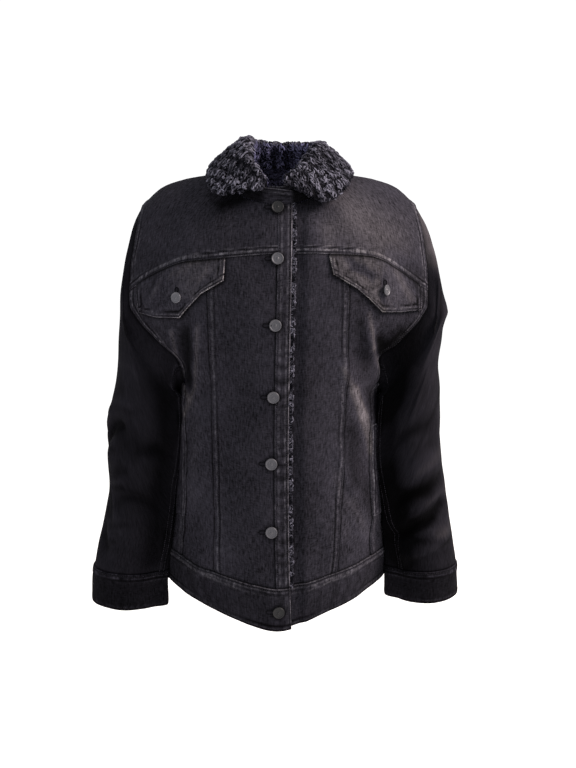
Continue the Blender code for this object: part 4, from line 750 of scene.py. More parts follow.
def on_front(side, x, z):
    """The share and level of the front at this signed X and Z, found by Newton's method."""
    x, z = pair(x, z)
    level = np.interp(z, CENTRE["front"]["z"], CENTRE["front"]["level"])
    share = share_at(side, level, x)
    for _ in range(NEWTON_STEPS):
        here = torso(side, "front", share, level)
        by_share = (torso(side, "front", share + STEP_SHARE, level) - here) / STEP_SHARE
        by_level = (torso(side, "front", share, level + STEP_LEVEL) - here) / STEP_LEVEL
        miss_x, miss_z = x - here[..., 0], z - here[..., 2]
        determinant = by_share[..., 0] * by_level[..., 2] - by_level[..., 0] * by_share[..., 2]
        share = share + (miss_x * by_level[..., 2] - miss_z * by_level[..., 0]) / determinant
        level = level + (by_share[..., 0] * miss_z - by_share[..., 2] * miss_x) / determinant
        share, level = np.clip(share, -0.4, 1), np.clip(level, HEM, TOP - STEP_LEVEL)
    return share, level


def on_face(side, x, z):
    """The front's points and normals at this signed X and Z, and their levels."""
    share, level = on_front(side, x, z)
    return torso(side, "front", share, level), torso_normal(side, "front", share, level), level


# The sleeve ------------------------------------------------------------------------------------------


def armhole_turns(half):
    """Levels up one side of the armhole, and the turn of each, by its length round the loop."""
    levels = np.linspace(UNDERARM, TOP, 121)
    points, _ = half_torso(half, np.ones_like(levels), levels)
    length = run(points)
    share = length / length[-1]
    turns = 0.5 * (1 - share) if half == "front" else 0.5 * (1 + share)
    return levels, turns


TURNS = {half: armhole_turns(half) for half in HALVES}


def turn_of(half, level):
    levels, turns = TURNS[half]
    return np.interp(level, levels, turns)


def armhole_at(turn):
    """The half and the level of the armhole at each turn."""
    front_levels, front_turns = TURNS["front"]
    back_levels, back_turns = TURNS["back"]
    turn = np.mod(turn, 1)
    level = np.where(
        turn <= 0.5,
        np.interp(turn, front_turns[::-1], front_levels[::-1]),
        np.interp(turn, back_turns, back_levels),
    )
    return turn <= 0.5, level


def armhole_points(side, turn, reader):
    """What a torso function gives on the armhole at each turn, front or back as the turn says."""
    is_front, level = armhole_at(turn)
    front, back = (reader(side, half, np.ones_like(level), level) for half in HALVES)
    return np.where(is_front[..., None], front, back)


def sleeve_place(turn, station):
    """A place of the sleeve's cloth, in metres round it and along it."""
    return np.mod(turn, 1) * SLEEVE_ROUND, station * SLEEVE_STATION


def off_seam(station):
    """0 at the armhole's seam, and 1 from the first station on."""
    return ease((station - 0.4) / 0.6)


def torso_side(side, y, z):
    """How far out the torso's side is at this depth and height, below the underarm."""
    width = np.interp(z, SIDE["z"], SIDE["x"])
    front = np.interp(z, CENTRE["front"]["z"], CENTRE["front"]["y"])
    back = np.interp(z, CENTRE["back"]["z"], CENTRE["back"]["y"])
    depth = np.where(y < 0, front, back)
    sway = side * HEM_SWAY * np.clip((UNDERARM_Z - z) / (UNDERARM_Z - HEM_Z), 0, 1) ** 2
    return width * np.sqrt(np.clip(1 - (y / depth) ** 2, 0, 1)) + sway


def sleeve(side, turn, station):
    """A point of the sleeve's outer face.

    Turn 0 is the outer line, a quarter is the front and a half is the inner line.
    """
    turn, station = pair(turn, station)
    row = {name: through(SLEEVE, name, station) for name in SLEEVE if name != "station"}
    x_out = row["x_right"] if side == RIGHT else row["x_left"]
    loop = armhole_points(side, turn, torso) * np.array((side, 1, 1))
    shoulder_z, underarm_z = SLEEVE["z_out"][0], SLEEVE["z_in"][0]
    shoulder_x, underarm_x = SLEEVE["x_right"][0], SLEEVE["x_in"][0]
    loop_down = (shoulder_z - loop[..., 2]) / (shoulder_z - underarm_z)
    loop_out = loop[..., 0] - (shoulder_x + (underarm_x - shoulder_x) * loop_down)
    loop_depth = -loop[..., 1] / SLEEVE["half_depth"][0]
    angle = 2 * math.pi * turn
    plain = ease(station / LOOP_FADE)
    down = (1 - plain) * loop_down + plain * (1 - np.cos(angle)) / 2
    depth = (1 - plain) * loop_depth + plain * np.sin(angle)
    x = x_out + (row["x_in"] - x_out) * down + loop_out * (1 - plain)
    y = row["y_mid"] - row["half_depth"] * depth
    z = row["z_out"] + (row["z_in"] - row["z_out"]) * down + (side == LEFT) * row["lift_left"]
    lift = folds(SLEEVE_FOLDS[side], *sleeve_place(turn, station)) * ease(station)
    lift = lift * ease((SLEEVE_END - station) / 1.5)
    x, y = x + lift * np.cos(angle), y - lift * np.sin(angle)
    limit = torso_side(side, y, z) + ARM_CLEAR
    pressed = x + ARM_CLEAR_SOFT * np.log1p(np.exp(np.clip((limit - x) / ARM_CLEAR_SOFT, -30, 30)))
    x = np.where((z < UNDERARM_Z) & (station > 0), x + (pressed - x) * off_seam(station), x)
    return stack(side * x, y, z)


def sleeve_normal(side, turn, station):
    turn, station = pair(turn, station)
    low, high = np.maximum(station - STEP_STATION, 0.0), np.minimum(station + STEP_STATION, SLEEVE_END)
    around = sleeve(side, turn + STEP_TURN, station) - sleeve(side, turn - STEP_TURN, station)
    down = sleeve(side, turn, high) - sleeve(side, turn, low)
    own = unit(np.cross(around, down)) * side
    at_seam = armhole_points(side, turn, torso_normal)
    return unit(at_seam + (own - at_seam) * ease(station / 0.5)[..., None])


# The collar's surface ---------------------------------------------------------------------------------


def neck(share):
    """The neck seam from the centre back, share 0, round to the centre front, 1 or -1, and past it."""
    side = np.where(share < 0, RIGHT, LEFT)
    away = np.abs(share)
    back = away / 0.5 * math.pi / 2
    front = (1 - away) / 0.5 * math.pi / 2
    is_back = away < 0.5
    x = NECK_HALF * np.where(is_back, np.sin(back), np.sin(front))
    y = np.where(is_back, NECK_BACK * np.cos(back), -NECK_FRONT * np.cos(front))
    z = np.where(is_back, NECK_RISE_BACK * np.cos(back), NECK_DIP_FRONT * np.cos(front))
    depth = np.where(is_back, NECK_BACK, NECK_FRONT)
    out = unit(stack(x / NECK_HALF**2, y / depth**2, 0))
    mirror = stack(side, 1, 1)
    point = stack(x, y, z) * mirror
    under = np.where(side == LEFT, ease((UNDER_X - point[..., 0]) / UNDER_FADE), 0.0) * (y < 0)
    return point, out * mirror, under


def collar_frame(share):
    """Where the collar is at one share of the neck seam, negative for the wearer's right.

    It gives the seam, the middle of the roll, the way up between them, the way out, and the roll's sizes.
    """
    side = RIGHT if share < 0 else LEFT
    away = min(abs(share) / NECK_END[side], 1)
    base, out, under = (value[0] for value in neck(np.array([share])))
    end_base, _, _ = (value[0] for value in neck(np.array([side * away * NECK_END[side]])))
    roll = np.array([float(through(ROLL[side], axis, away)) for axis in "xyz"]) * (side, 1, 1)
    radius = float(through(ROLL_SIZE, "radius", away))
    half = float(through(ROLL_SIZE, "half", away))
    reach = roll - (0, 0, radius) - end_base
    rise = unit(reach)
    out = unit(out - rise * (out @ rise))
    base = base - out * under * STAND_LAP
    return base, base + reach, rise, out, radius, half


def yoke_samples():
    """Points and directions of the yokes, for the collar's leaf to lie on."""
    points, normals = [], []
    for side in SIDES:
        for half in HALVES:
            share, level = np.meshgrid(np.linspace(-0.1, 0.8, 46), np.linspace(8.4, 9.98, 40))
            points.append(torso(side, half, share, level).reshape(-1, 3))
            normals.append(torso_normal(side, half, share, level).reshape(-1, 3))
    return np.concatenate(points), np.concatenate(normals)


def raised(points, samples, normals, clear):
    """Points moved out where they are nearer than clear to the sampled surface."""
    flat = points.reshape(-1, 3)
    nearest = np.array([np.argmin(((samples - point) ** 2).sum(axis=1)) for point in flat])
    height = ((flat - samples[nearest]) * normals[nearest]).sum(axis=1)
    need = np.maximum(np.broadcast_to(clear, points.shape[:-1]).reshape(-1) - height, 0)
    return (flat + normals[nearest] * need[:, None]).reshape(points.shape)


def collar_middle(side, away):
    """The middle of the collar's cloth at one share of its length, from neck seam to leaf edge."""
    leaf = np.array([float(through(LEAF[side], axis, away)) for axis in "xyz"]) * (side, 1, 1)
    base, middle, rise, out, radius, half = collar_frame(side * max(away, 1e-4) * NECK_END[side])
    start = base - out * (STAND_WALL + 2 * GAP + STAND_LAYER_HALF) + rise * STAND_LAYER_START
    rolled_in, rolled_out = middle - out * radius, middle + out * radius
    points = [start + (rolled_in - start) * t for t in (0, 0.35, 0.7)]
    for angle in np.radians((180, 144, 108, 72, 36, 0)):
        points.append(middle + out * radius * math.cos(angle) + rise * radius * math.sin(angle))
    length = np.linalg.norm(leaf - rolled_out)
    control = rolled_out - rise * length * LEAF_DROP + unit(out) * length * LEAF_OUT
    for t in (0.25, 0.5, 0.75, 0.92, 1.0):
        points.append(rolled_out * (1 - t) ** 2 + control * 2 * t * (1 - t) + leaf * t**2)
    halves = [STAND_LAYER_HALF] * 3 + list(np.linspace(STAND_LAYER_HALF, half, 6)) + [half] * 3
    halves += [half * 0.8, half * 0.35]
    return np.array(points), np.array(halves)


def yoke_seam_z(side, x):
    share = share_at(side, np.full_like(x, YOKE), side * x)
    return torso(side, "front", share, np.full_like(x, YOKE))[..., 2]


# Fine surfaces ---------------------------------------------------------------------------------------


def ripple(along, seed):
    """An uneven wave from -1 to 1 along a line, with waves about a unit long."""
    phase = 2.4 * seed
    wander = 1.3 * np.sin(2 * math.pi * along / 4.3 + phase)
    strength = 0.62 + 0.38 * np.sin(2 * math.pi * along / 7.1 + 1.7 * phase)
    return strength * np.sin(2 * math.pi * along + wander + phase)


def rumple(points):
    """The cloth's own unevenness at a place, as a height in metres, the same on both sides of a seam."""
    total = np.zeros(points.shape[:-1])
    for wave_x, wave_y, wave_z, phase, height in zip(*RUMPLE.values()):
        turn = points[..., 0] / wave_x + points[..., 1] / wave_y + points[..., 2] / wave_z
        total += height * np.sin(2 * math.pi * turn + phase)
    return total


def fold_shade(crest, strength, most):
    """Painted light and shade of folds: the tone made lighter on a ridge and darker in a trough."""
    return 1 + strength * np.clip(crest, -most, most)


def washed_and_shaded(rows, u, v, least):
    """What the strokes of a table, wash and painted light and shade, do to the tone, which keeps at least
    this share.
    """
    return np.maximum(1 + folds(rows, u, v), least)


def creases(rows, u, v):
    """The height of narrow creases, which taper to both ends and have a soft ridge beside each trough."""
    total = np.zeros(np.shape(u))
    for u0, v0, u1, v1, width, height, bow in zip(*rows.values()):
        along = np.array((u1 - u0, v1 - v0))
        length = np.hypot(*along)
        share = ((u - u0) * along[0] + (v - v0) * along[1]) / length**2
        side = ((u - u0) * along[1] - (v - v0) * along[0]) / length
        side = side - bow * length * 4 * share * (1 - share)
        taper = np.clip(4 * share * (1 - share), 0, 1) ** CREASE_TAPER * ((share > 0) & (share < 1))
        across = side / width
        total += height * taper * (bump_at(across, 0, 1) - RIDGE_SHARE * bump_at(across, RIDGE_AWAY, 1))
    return total


def run_lengths(points, axis):
    """The distance of each grid point from the first and from the last one along an axis."""
    steps = np.linalg.norm(np.diff(points, axis=axis), axis=-1)
    first = np.insert(np.cumsum(steps, axis=axis), 0, 0, axis=axis)
    return first, np.take(first, [-1], axis=axis) - first


def graded(length):
    """Shares from 0 to 1 for grid lines that are close together at both ends."""
    ends = np.array(EDGE_LINES) * min(1, length / (2.6 * EDGE_LINES[-1]))
    count = max(2, int(math.ceil((length - 2 * ends[-1]) / POINT_SPACING)))
    middle = np.linspace(ends[-1], length - ends[-1], count + 1)
    return np.concatenate([ends[:-1], middle, (length - ends[:-1])[::-1]]) / length


def even_levels(read, low, high):
    """Levels between two, spaced so that the points on the surface are graded evenly."""
    tries = np.linspace(low, high, 160)
    length = run(read(tries))
    return np.interp(graded(length[-1]) * length[-1], length, tries)


def lap(distance, kind, along, seed):
    """The height, and the wear and painted shadow, that a border adds.

    The kinds are over, quiet and soft, which lap over the next panel with two rows of needle marks, under,
    which goes beneath it, and bound, a turned and sewn edge. Wear below zero is the dark of the needle rows,
    and on an under border a painted shadow past the edge that laps over it.
    """
    uneven = 0.5 + 0.5 * ripple(along / PUCKER, seed)
    patchy = 0.72 + 0.28 * ripple(along / PATCH, seed + 1)
    needle = sum(bump_at(distance, place, NEEDLE_WIDTH) for place in STITCH_ROWS)
    if kind in ("over", "quiet", "soft"):
        edge = np.clip(distance / EDGE_ROUND, 0, 1)
        height = LAP_RISE * ease((LAP_WIDTH + LAP_SLOPE - distance) / LAP_SLOPE)
        height = height * np.sqrt(1 - (1 - edge) ** 2)
        puff = bump_at(distance, LAP_WIDTH / 2, LAP_WIDTH / 2.6)
        height = height + 0.00042 * puff * (2 * uneven - 1) - NEEDLE_SINK * needle
        wear = 0.80 * bump_at(distance, 0.0007, 0.0009)
        wear = wear + 1.15 * bump_at(distance, 0.0056, 0.0030) * (0.3 + 0.7 * uneven)
        wear = (wear + 0.50 * bump_at(distance, LAP_WIDTH, 0.0010)) * patchy - 1.35 * needle
        wear = np.where(wear > 0, wear * QUIET_SHARE, wear) if kind == "quiet" else wear
        share = SOFT_SHARE if kind == "soft" else 1.0
        return height * share, wear * share
    if kind == "under":
        # Painted shadow on this panel just past the edge of the one that laps over it.
        near = ease((0.005 - distance) / 0.005)
        return -0.0009 * near, -bump_at(np.maximum(distance - UNDER_REACH, 0), 0, 0.0022)
    if kind == "bound":
        edge = np.clip(distance / 0.0020, 0, 1)
        height = -0.0016 * (1 - np.sqrt(1 - (1 - edge) ** 2))
        height = height + 0.0004 * bump_at(distance, 0.006, 0.005) * (2 * uneven - 1) - NEEDLE_SINK * needle
        wear = 1.3 * bump_at(distance, 0.0009, 0.0012)
        wear = (wear + 0.8 * bump_at(distance, 0.0056, 0.0019) * uneven) * patchy
        return height, wear - 1.3 * needle
    return np.zeros_like(distance), np.zeros_like(distance)


def bordered(points, borders, seed, levels=None):
    """The height, the wear and painted shadow of a grid's borders, and its uv.

    The borders are the first and last column and the first and last row. One that is three values has the
    first kind below the level that is third, and the second kind above it.
    """
    left, right = run_lengths(points, 1)
    low, high = run_lengths(points, 0)
    height, wear = np.zeros(points.shape[:2]), np.zeros(points.shape[:2])
    ways = (left, right, low, high), borders, (low, low, left, left)
    for k, (distance, kind, along) in enumerate(zip(*ways)):
        if isinstance(kind, tuple):
            above = ease((levels - kind[2] + 0.1) / 0.2)
            parts = [lap(distance, which, along, seed + 3 * k) for which in kind[:2]]
            more, edge_marks = (first * (1 - above) + second * above for first, second in zip(*parts))
        else:
            more, edge_marks = lap(distance, kind, along, seed + 3 * k)
        height, wear = height + more, np.where(np.abs(edge_marks) > np.abs(wear), edge_marks, wear)
    return height, wear, np.stack([left, low], axis=-1)


# Meshes ----------------------------------------------------------------------------------------------


def mesh_object(name, points, faces, finishes, finish_index=None, uv=None, **attributes):
    """One piece of the visual model, with point attributes for its materials."""
    mesh = bpy.data.meshes.new(name)
    faces = np.asarray(faces, np.int32)
    sides = faces.shape[1]
    mesh.vertices.add(len(points))
    mesh.vertices.foreach_set("co", np.asarray(points, np.float32).ravel())
    mesh.loops.add(faces.size)
    mesh.loops.foreach_set("vertex_index", faces.ravel())
    mesh.polygons.add(len(faces))
    mesh.polygons.foreach_set("loop_start", np.arange(0, faces.size, sides, dtype=np.int32))
    for finish in finishes:
        mesh.materials.append(finish)
    if finish_index is not None:
        mesh.polygons.foreach_set("material_index", np.asarray(finish_index, np.int32))
    if uv is not None:
        layer = mesh.uv_layers.new(name="UVMap")
        layer.data.foreach_set("uv", np.asarray(uv, np.float32)[faces.ravel()].ravel())
    for label, values in attributes.items():
        made = mesh.attributes.new(label, "FLOAT", "POINT")
        made.data.foreach_set("value", np.asarray(values, np.float32))
    mesh.update(calc_edges=True)
    mesh.validate()
    mesh.shade_smooth()
    mesh.set_sharp_from_angle(angle=math.radians(50))
    made = bpy.data.objects.new(name, mesh)
    bpy.context.scene.collection.objects.link(made)
    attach(made, "root")
    return made


def grid_quads(rows, columns, start=0, closed=False):
    """The quads of a grid of points, row by row."""
    spans = columns if closed else columns - 1
    i, j = np.meshgrid(np.arange(rows - 1), np.arange(spans), indexing="ij")
    a, b = i * columns + j, i * columns + (j + 1) % columns
    return np.stack([a, b, b + columns, a + columns], axis=-1).reshape(-1, 4) + start


def repeated(faces, count, points):
    """The faces of many copies of a small mesh, with this many points in each."""
    return (faces[None] + (np.arange(count) * points)[:, None, None]).reshape(-1, 4)


def cloth_mesh(name, outer, inner, finishes, uv, wear, tone, closed=False):
    """A closed sheet between two grids: the first finish outside and round the rim, the second inside."""
    rows, columns = outer.shape[:2]
    base = rows * columns
    outside = grid_quads(rows, columns, 0, closed)
    inside = grid_quads(rows, columns, base, closed)[:, ::-1]
    spans = np.arange(columns if closed else columns - 1)
    loop = [np.stack([spans, (spans + 1) % columns], axis=1)]
    loop.append(np.stack([(spans + 1) % columns, spans], axis=1) + (rows - 1) * columns)
    if not closed:
        downs = np.arange(rows - 1) * columns
        loop.append(np.stack([downs + columns, downs], axis=1))
        loop.append(np.stack([downs, downs + columns], axis=1) + columns - 1)
    loop = np.concatenate(loop)
    rim_quads = np.stack([loop[:, 1], loop[:, 0], loop[:, 0] + base, loop[:, 1] + base], axis=1)
    faces = np.concatenate([outside, rim_quads, inside])
    down, across = outer[1:, :-1] - outer[:-1, :-1], outer[:-1, 1:] - outer[:-1, :-1]
    if (np.cross(across, down) * (outer - inner)[:-1, :-1]).sum() < 0:
        faces = faces[:, ::-1]
    index = np.concatenate([np.zeros(len(outside) + len(rim_quads)), np.ones(len(inside))])
    points = np.concatenate([outer.reshape(-1, 3), inner.reshape(-1, 3)])
    uv = np.tile(uv.reshape(-1, 2), (2, 1))
    edge_marks, toned = np.tile(wear.ravel(), 2), np.tile(tone.ravel(), 2)
    return mesh_object(name, points, faces, finishes, index, uv, wear=edge_marks, tone=toned)


def declare_cloth(outer, node, closed=False):
    """Hides the CAD part that a sheet of cloth replaces; the size of the cut that its smooth form unrolls to
    is worked out but not used.
    """
    across = np.linalg.norm(np.diff(outer, axis=1), axis=-1).sum(axis=1)
    down = np.linalg.norm(np.diff(outer, axis=0), axis=-1).sum(axis=0)
    if closed:
        across = across + np.linalg.norm(outer[:, 0] - outer[:, -1], axis=-1)
    turned = np.concatenate([outer, outer[:, :1]], axis=1) if closed else outer
    first = np.cross(turned[1:, :-1] - turned[:-1, :-1], turned[:-1, 1:] - turned[:-1, :-1])
    second = np.cross(turned[1:, :-1] - turned[1:, 1:], turned[:-1, 1:] - turned[1:, 1:])
    area = (np.linalg.norm(first, axis=-1) + np.linalg.norm(second, axis=-1)).sum() / 2
    width, length = float(across.max()), float(down.max())
    area = float(np.clip(area, 0.31 * width * length, width * length))
    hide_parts(node)


# The torso's panels ----------------------------------------------------------------------------------


def torso_cloth(node, side, half, levels, seams, borders, proud=0.0, tone=1.0, seed=1, pucker_shading=None):
    """One panel of the torso, between two seams and two levels, with laps at its borders.

    Its puckers are bars of painted light and shade across it, with no height of their own: how much of its
    tone they are, how long a bar is, and the direction, 0 for bars along its rows and 1 for bars along its
    columns.
    """
    middle_share = lambda at: (seams[0](at) + seams[1](at)) / 2
    low, high = levels
    rows = even_levels(lambda at: read_torso(side, half, middle_share(at), at), low, high)
    first, last = seams[0](rows), seams[1](rows)
    fine = np.linspace(0, 1, 24)[None, :]
    span = read_torso(side, half, first[:, None] + (last - first)[:, None] * fine, rows[:, None])
    width = np.linalg.norm(np.diff(span, axis=1), axis=-1).sum(axis=1)
    mix = graded(float(width.max()))[None, :]
    shares = first[:, None] + (last - first)[:, None] * mix
    grid = np.repeat(rows[:, None], shares.shape[1], axis=1)
    for column, kind, sign in ((0, borders[0], -1), (-1, borders[1], 1)):
        if kind == "under":
            shares[:, column] += sign * UNDER_REACH * (last - first) / np.maximum(width, 0.01)
    shares = np.clip(shares, -1, 1)
    for row, next_row, kind, sign in ((0, 1, borders[2], -1), (-1, -2, borders[3], 1)):
        if kind == "under":
            here, there = (read_torso(side, half, shares[k], grid[k]) for k in (row, next_row))
            speed = np.linalg.norm(there - here, axis=-1) / np.abs(grid[next_row] - grid[row])
            grid[row] = np.clip(grid[row] + sign * UNDER_REACH / speed, HEM, TOP)
    points = read_torso(side, half, shares, grid)
    normal = read_torso(side, half, shares, grid, torso_normal)
    height, wear, uv = bordered(points, borders, seed, grid)
    x, z = points[..., 0], points[..., 2]
    crease = creases(TORSO_CREASES[half], x, z)
    crest = (folds(TORSO_FOLDS[half], x, z) + crease) / FOLD_FULL
    uneven = rumple(points) * ease((TOP - grid) / 0.5)
    lift = proud + (crease + uneven) * (1 if half == "back" else off_edge(side, x))
    # Painted light and shade of the folds and creases.
    shade = tone * fold_shade(crest, *TORSO_FOLD_SHADE)
    if half == "front":
        # Wash, and painted light and shade: shadows under the collar's leaves and round the flaps, highlights
        # on folds.
        shade = shade * washed_and_shaded(WASH_AND_SHADE, x, z, TORSO_LEAST)
        if side is not None:
            shade = shade * (1 - SEAM_SHADOW * bump_at(from_flap(side, side * x, z), 0, SHADOW_WIDTH))
            for button_x, button_z in zip(BUTTONS["x"], BUTTONS["z"]):
                away = np.hypot(x - button_x, z - button_z)
                shade = shade * (1 - BUTTON_SHADE * bump_at(away, BUTTON_RADIUS + 0.0006, BUTTON_RING))
    wear = wear / np.where(wear > 0, np.maximum(shade, 1) ** 0.6, 1)
    if proud == BAND_PROUD:
        shade = shade * (BAND_TONE + BAND_TONE_MORE * uv[..., 1] / uv[..., 1].max())
    # Painted light and shade of pucker bars, which the sheet's shape does not have.
    if pucker_shading:
        strength, length, way = pucker_shading
        bars = ripple(uv[..., 1 - way] / length + BAR_SWAY * np.sin(uv[..., way] / BAR_WAVE), seed)
        bars = ease((BAR_TOP - z) / BAR_FADE) * bars * np.where(bars < 0, *BAR_LIGHT_AND_SHADE)
        shade = shade * (1 + strength * bars)
    finish_cloth(node, points, normal, height + lift, lift - WALL, (DENIM, LINING), uv, wear, shade)


def read_torso(side, half, shares, levels, reader=torso):
    """What a torso function gives; with a side of None a negative share is the wearer's right."""
    if side is not None:
        return reader(side, half, shares, levels)
    right, left = (reader(turned, half, np.abs(shares), levels) for turned in SIDES)
    return np.where((np.asarray(shares) < 0)[..., None], right, left)


def from_flap(side, x, z):
    """How far a place on the front is from the free edges of its chest pocket's flap."""
    rows = FLAP_OUTLINE[side]
    corners = [(rows["x_top"][0], yoke_seam_z(side, rows["x_top"])[0])]
    corners += list(zip(rows["x_low"], rows["z_low"]))
    nearest = np.full(np.shape(x), 1.0)
    for start, end in zip(corners[:-1], corners[1:]):
        nearest = np.minimum(nearest, off_line(x, z, *start, *end))
    return nearest


def constant(value):
    return lambda levels: np.full_like(np.asarray(levels, float), value)


def seam_at(half, column):
    """A seam whose distance from the centre line is in a table."""

    def seam(levels):
        levels = np.minimum(levels, column["level"][-1])
        return share_of(half, levels, through(column, "x", levels))

    return seam


def mirrored(seam):
    return lambda levels: -seam(levels)


def placket_edge(offset=0.0):
    return lambda levels: share_at(RIGHT, levels, through(PLACKET_EDGE, "x", levels) + offset)


def left_edge(levels):
    return share_at(LEFT, levels, np.full_like(levels, -UNDERLAP))


def side_front(levels):
    return through(SIDE_FRONT, "share", np.minimum(levels, SIDE_FRONT["level"][-1]))


def tag(side):
    return "R" if side == RIGHT else "L"


# The sleeves' panels ---------------------------------------------------------------------------------


def sleeve_cloth(node, side, turns, stations, borders, closed=False, proud=0.0):
    """One panel of a sleeve between two turns and two stations, or a closed cuff."""
    middle = (turns[0] + turns[1]) / 2
    rows = even_levels(lambda at: sleeve(side, np.full_like(at, middle), at), *stations)
    around = sleeve(side, np.linspace(*turns, 80), np.full(80, np.mean(stations)))
    width = np.linalg.norm(np.diff(around, axis=0), axis=-1).sum()
    mix = np.linspace(0, 1, int(width / POINT_SPACING))[:-1] if closed else graded(width)
    turn, station = np.meshgrid(turns[0] + (turns[1] - turns[0]) * mix, rows)
    if borders[3] == "under":
        station[-1] += UNDER_REACH / SLEEVE_STATION
    if not closed and borders[0] == "under":
        turn[:, 0] -= UNDER_REACH / SLEEVE_ROUND
        turn[:, -1] += UNDER_REACH / SLEEVE_ROUND
    points = snug(side, sleeve(side, turn, station), station)
    normal = sleeve_normal(side, turn, station)
    height, wear, uv = bordered(points, borders, 1)
    u, v = sleeve_place(turn, station)
    settled = ease(station / 0.6)
    crease = creases(SLEEVE_CREASES[side], u, v) * settled
    crest = (folds(SLEEVE_FOLDS[side], u, v) + crease) / FOLD_FULL
    lift = proud + crease + rumple(points) * settled
    thick = WALL * (SEAM_WALL + (1 - SEAM_WALL) * ease((station - SEAM_WALL_END) / SEAM_WALL_FADE))
    # Painted light and shade: from the folds, and from the strokes of the sleeve's table.
    shade = fold_shade(crest, *SLEEVE_FOLD_SHADE) * washed_and_shaded(SLEEVE_LIGHT_AND_SHADE[side], u, v, SLEEVE_LEAST)
    # Painted light on the front of the top of the wearer's left sleeve, where the key light falls.
    facing = ease((CAP_BACK - points[..., 1]) / CAP_TURN)
    shade = shade * (1 + CAP_LIGHT[side] * facing * ease((points[..., 2] - CAP_LEVEL) / CAP_FADE))
    finishes = (CUFF_DENIM, LINING) if closed else (SLEEVE_DENIM, SHERPA_BACK)
    finish_cloth(node, points, normal, height + lift, lift - thick, finishes, uv, wear, shade, closed)


def snug(side, points, station):
    """Draws the inner side of a sleeve to the torso where the two are close, so that the arm rests on it."""
    x, y, z = side * points[..., 0], points[..., 1], points[..., 2]
    gap = x - torso_side(side, y, z) - SNUG_CLEAR
    drawn = gap * ease(gap / SNUG_REACH) ** 2
    share = ease((SNUG_TOP - z) / SNUG_FADE) * off_seam(station) * (gap > 0) * (gap < SNUG_REACH)
    return points + stack(side * (drawn - gap) * share, 0, 0)


def finish_cloth(node, points, normal, over, under, finishes, uv, wear, tone, closed=False):
    outer, inner = (points + normal * height[..., None] for height in (over, under))
    piece = cloth_mesh("cloth_" + node, outer, inner, finishes, uv, wear, tone, closed)
    declare_cloth(points, node, closed=closed)
    PANELS[node] = (outer, normal, closed)


def sherpa_cloth(node, outer, inner, plain):
    """The backing of a piece of sherpa, which the curls cover."""
    zero = np.zeros(plain.shape[:2])
    uv = np.stack([run_lengths(plain, axis)[0] for axis in (1, 0)], axis=-1)
    piece = cloth_mesh("cloth_" + node, outer, inner, (SHERPA_BACK, SHERPA_BACK), uv, zero, zero + 1)
    declare_cloth(plain, node)


# Stitches --------------------------------------------------------------------------------------------


def inset_line(node, border, distance, keep=(0.0, 1.0)):
    """Points and normals of a line this far in from one border of a panel.

    Borders 0 and 1 are the first and the last column, 2 and 3 the first and the last row.
    """
    outer, normal, closed = PANELS[node]
    grids = []
    for grid in (outer, normal):
        if border >= 2:
            grid = np.concatenate([grid, grid[:, :1]], axis=1) if closed else grid
            grid = grid.transpose(1, 0, 2)
        grids.append(grid[:, ::-1] if border % 2 else grid)
    first, last = (int(round(end * (len(grids[0]) - 1))) for end in keep)
    grids = [grid[first : last + 1] for grid in grids]
    steps = np.linalg.norm(np.diff(grids[0], axis=1), axis=-1)
    run = np.concatenate([np.zeros((len(steps), 1)), np.cumsum(steps, axis=1)], axis=1)
    line = np.empty((2, len(run), 3))
    for i, length in enumerate(run):
        for k in range(3):
            line[0, i, k] = np.interp(distance, length, grids[0][i, :, k])
            line[1, i, k] = np.interp(distance, length, grids[1][i, :, k])
    return line[0], unit(line[1])


def sew(name, lines):
    """One mesh of small raised stitches along all of the lines."""
    centres, alongs, ups = [], [], []
    for points, normals in lines:
        length = run(points)
        count = int(length[-1] / STITCH_PITCH)
        if count < 2:
            continue
        at = (np.arange(count) + 0.5 + RANDOM.uniform(-0.06, 0.06, count)) * STITCH_PITCH
        ends = (read_line(at + way * STITCH_LENGTH / 2, length, points) for way in (1, -1))
        centres.append(read_line(at, length, points))
        alongs.append(unit(np.subtract(*ends)))
        ups.append(unit(read_line(at, length, normals)))
    centre, along, up = (np.concatenate(part) for part in (centres, alongs, ups))
    aside = unit(np.cross(along, up))
    up = np.cross(aside, along)
    size = RANDOM.uniform(0.88, 1.08, (len(centre), 1))
    points = []
    for share, width, height in STITCH_RINGS:
        for turn in (-1, 0, 1):
            place = centre + along * share * STITCH_LENGTH * size + aside * turn * width * THREAD_HALF
            points.append(place + up * (height - 1.3 * abs(turn)) * THREAD_RISE)
    points = np.stack(points, axis=1).reshape(-1, 3)
    each = 3 * len(STITCH_RINGS)
    faces = repeated(grid_quads(len(STITCH_RINGS), 3), len(centre), each)
    tip = np.repeat(RANDOM.uniform(0, 1, len(centre)), each)
    piece = mesh_object(name, points, faces[:, ::-1], (THREAD,), tip=tip)


# Sherpa curls ----------------------------------------------------------------------------------------


def apart(place, distance):
    """Which places to keep, so that none of them is nearer than this distance to another."""
    cells, kept = {}, []
    steps = [(a, b, c) for a in (-1, 0, 1) for b in (-1, 0, 1) for c in (-1, 0, 1)]
    for i, (x, y, z) in enumerate(np.floor(place / distance).astype(int).tolist()):
        near = [k for a, b, c in steps for k in cells.get((x + a, y + b, z + c), ())]
        if not near or np.linalg.norm(place[near] - place[i], axis=1).min() >= distance:
            cells.setdefault((x, y, z), []).append(i)
            kept.append(i)
    return np.array(kept)


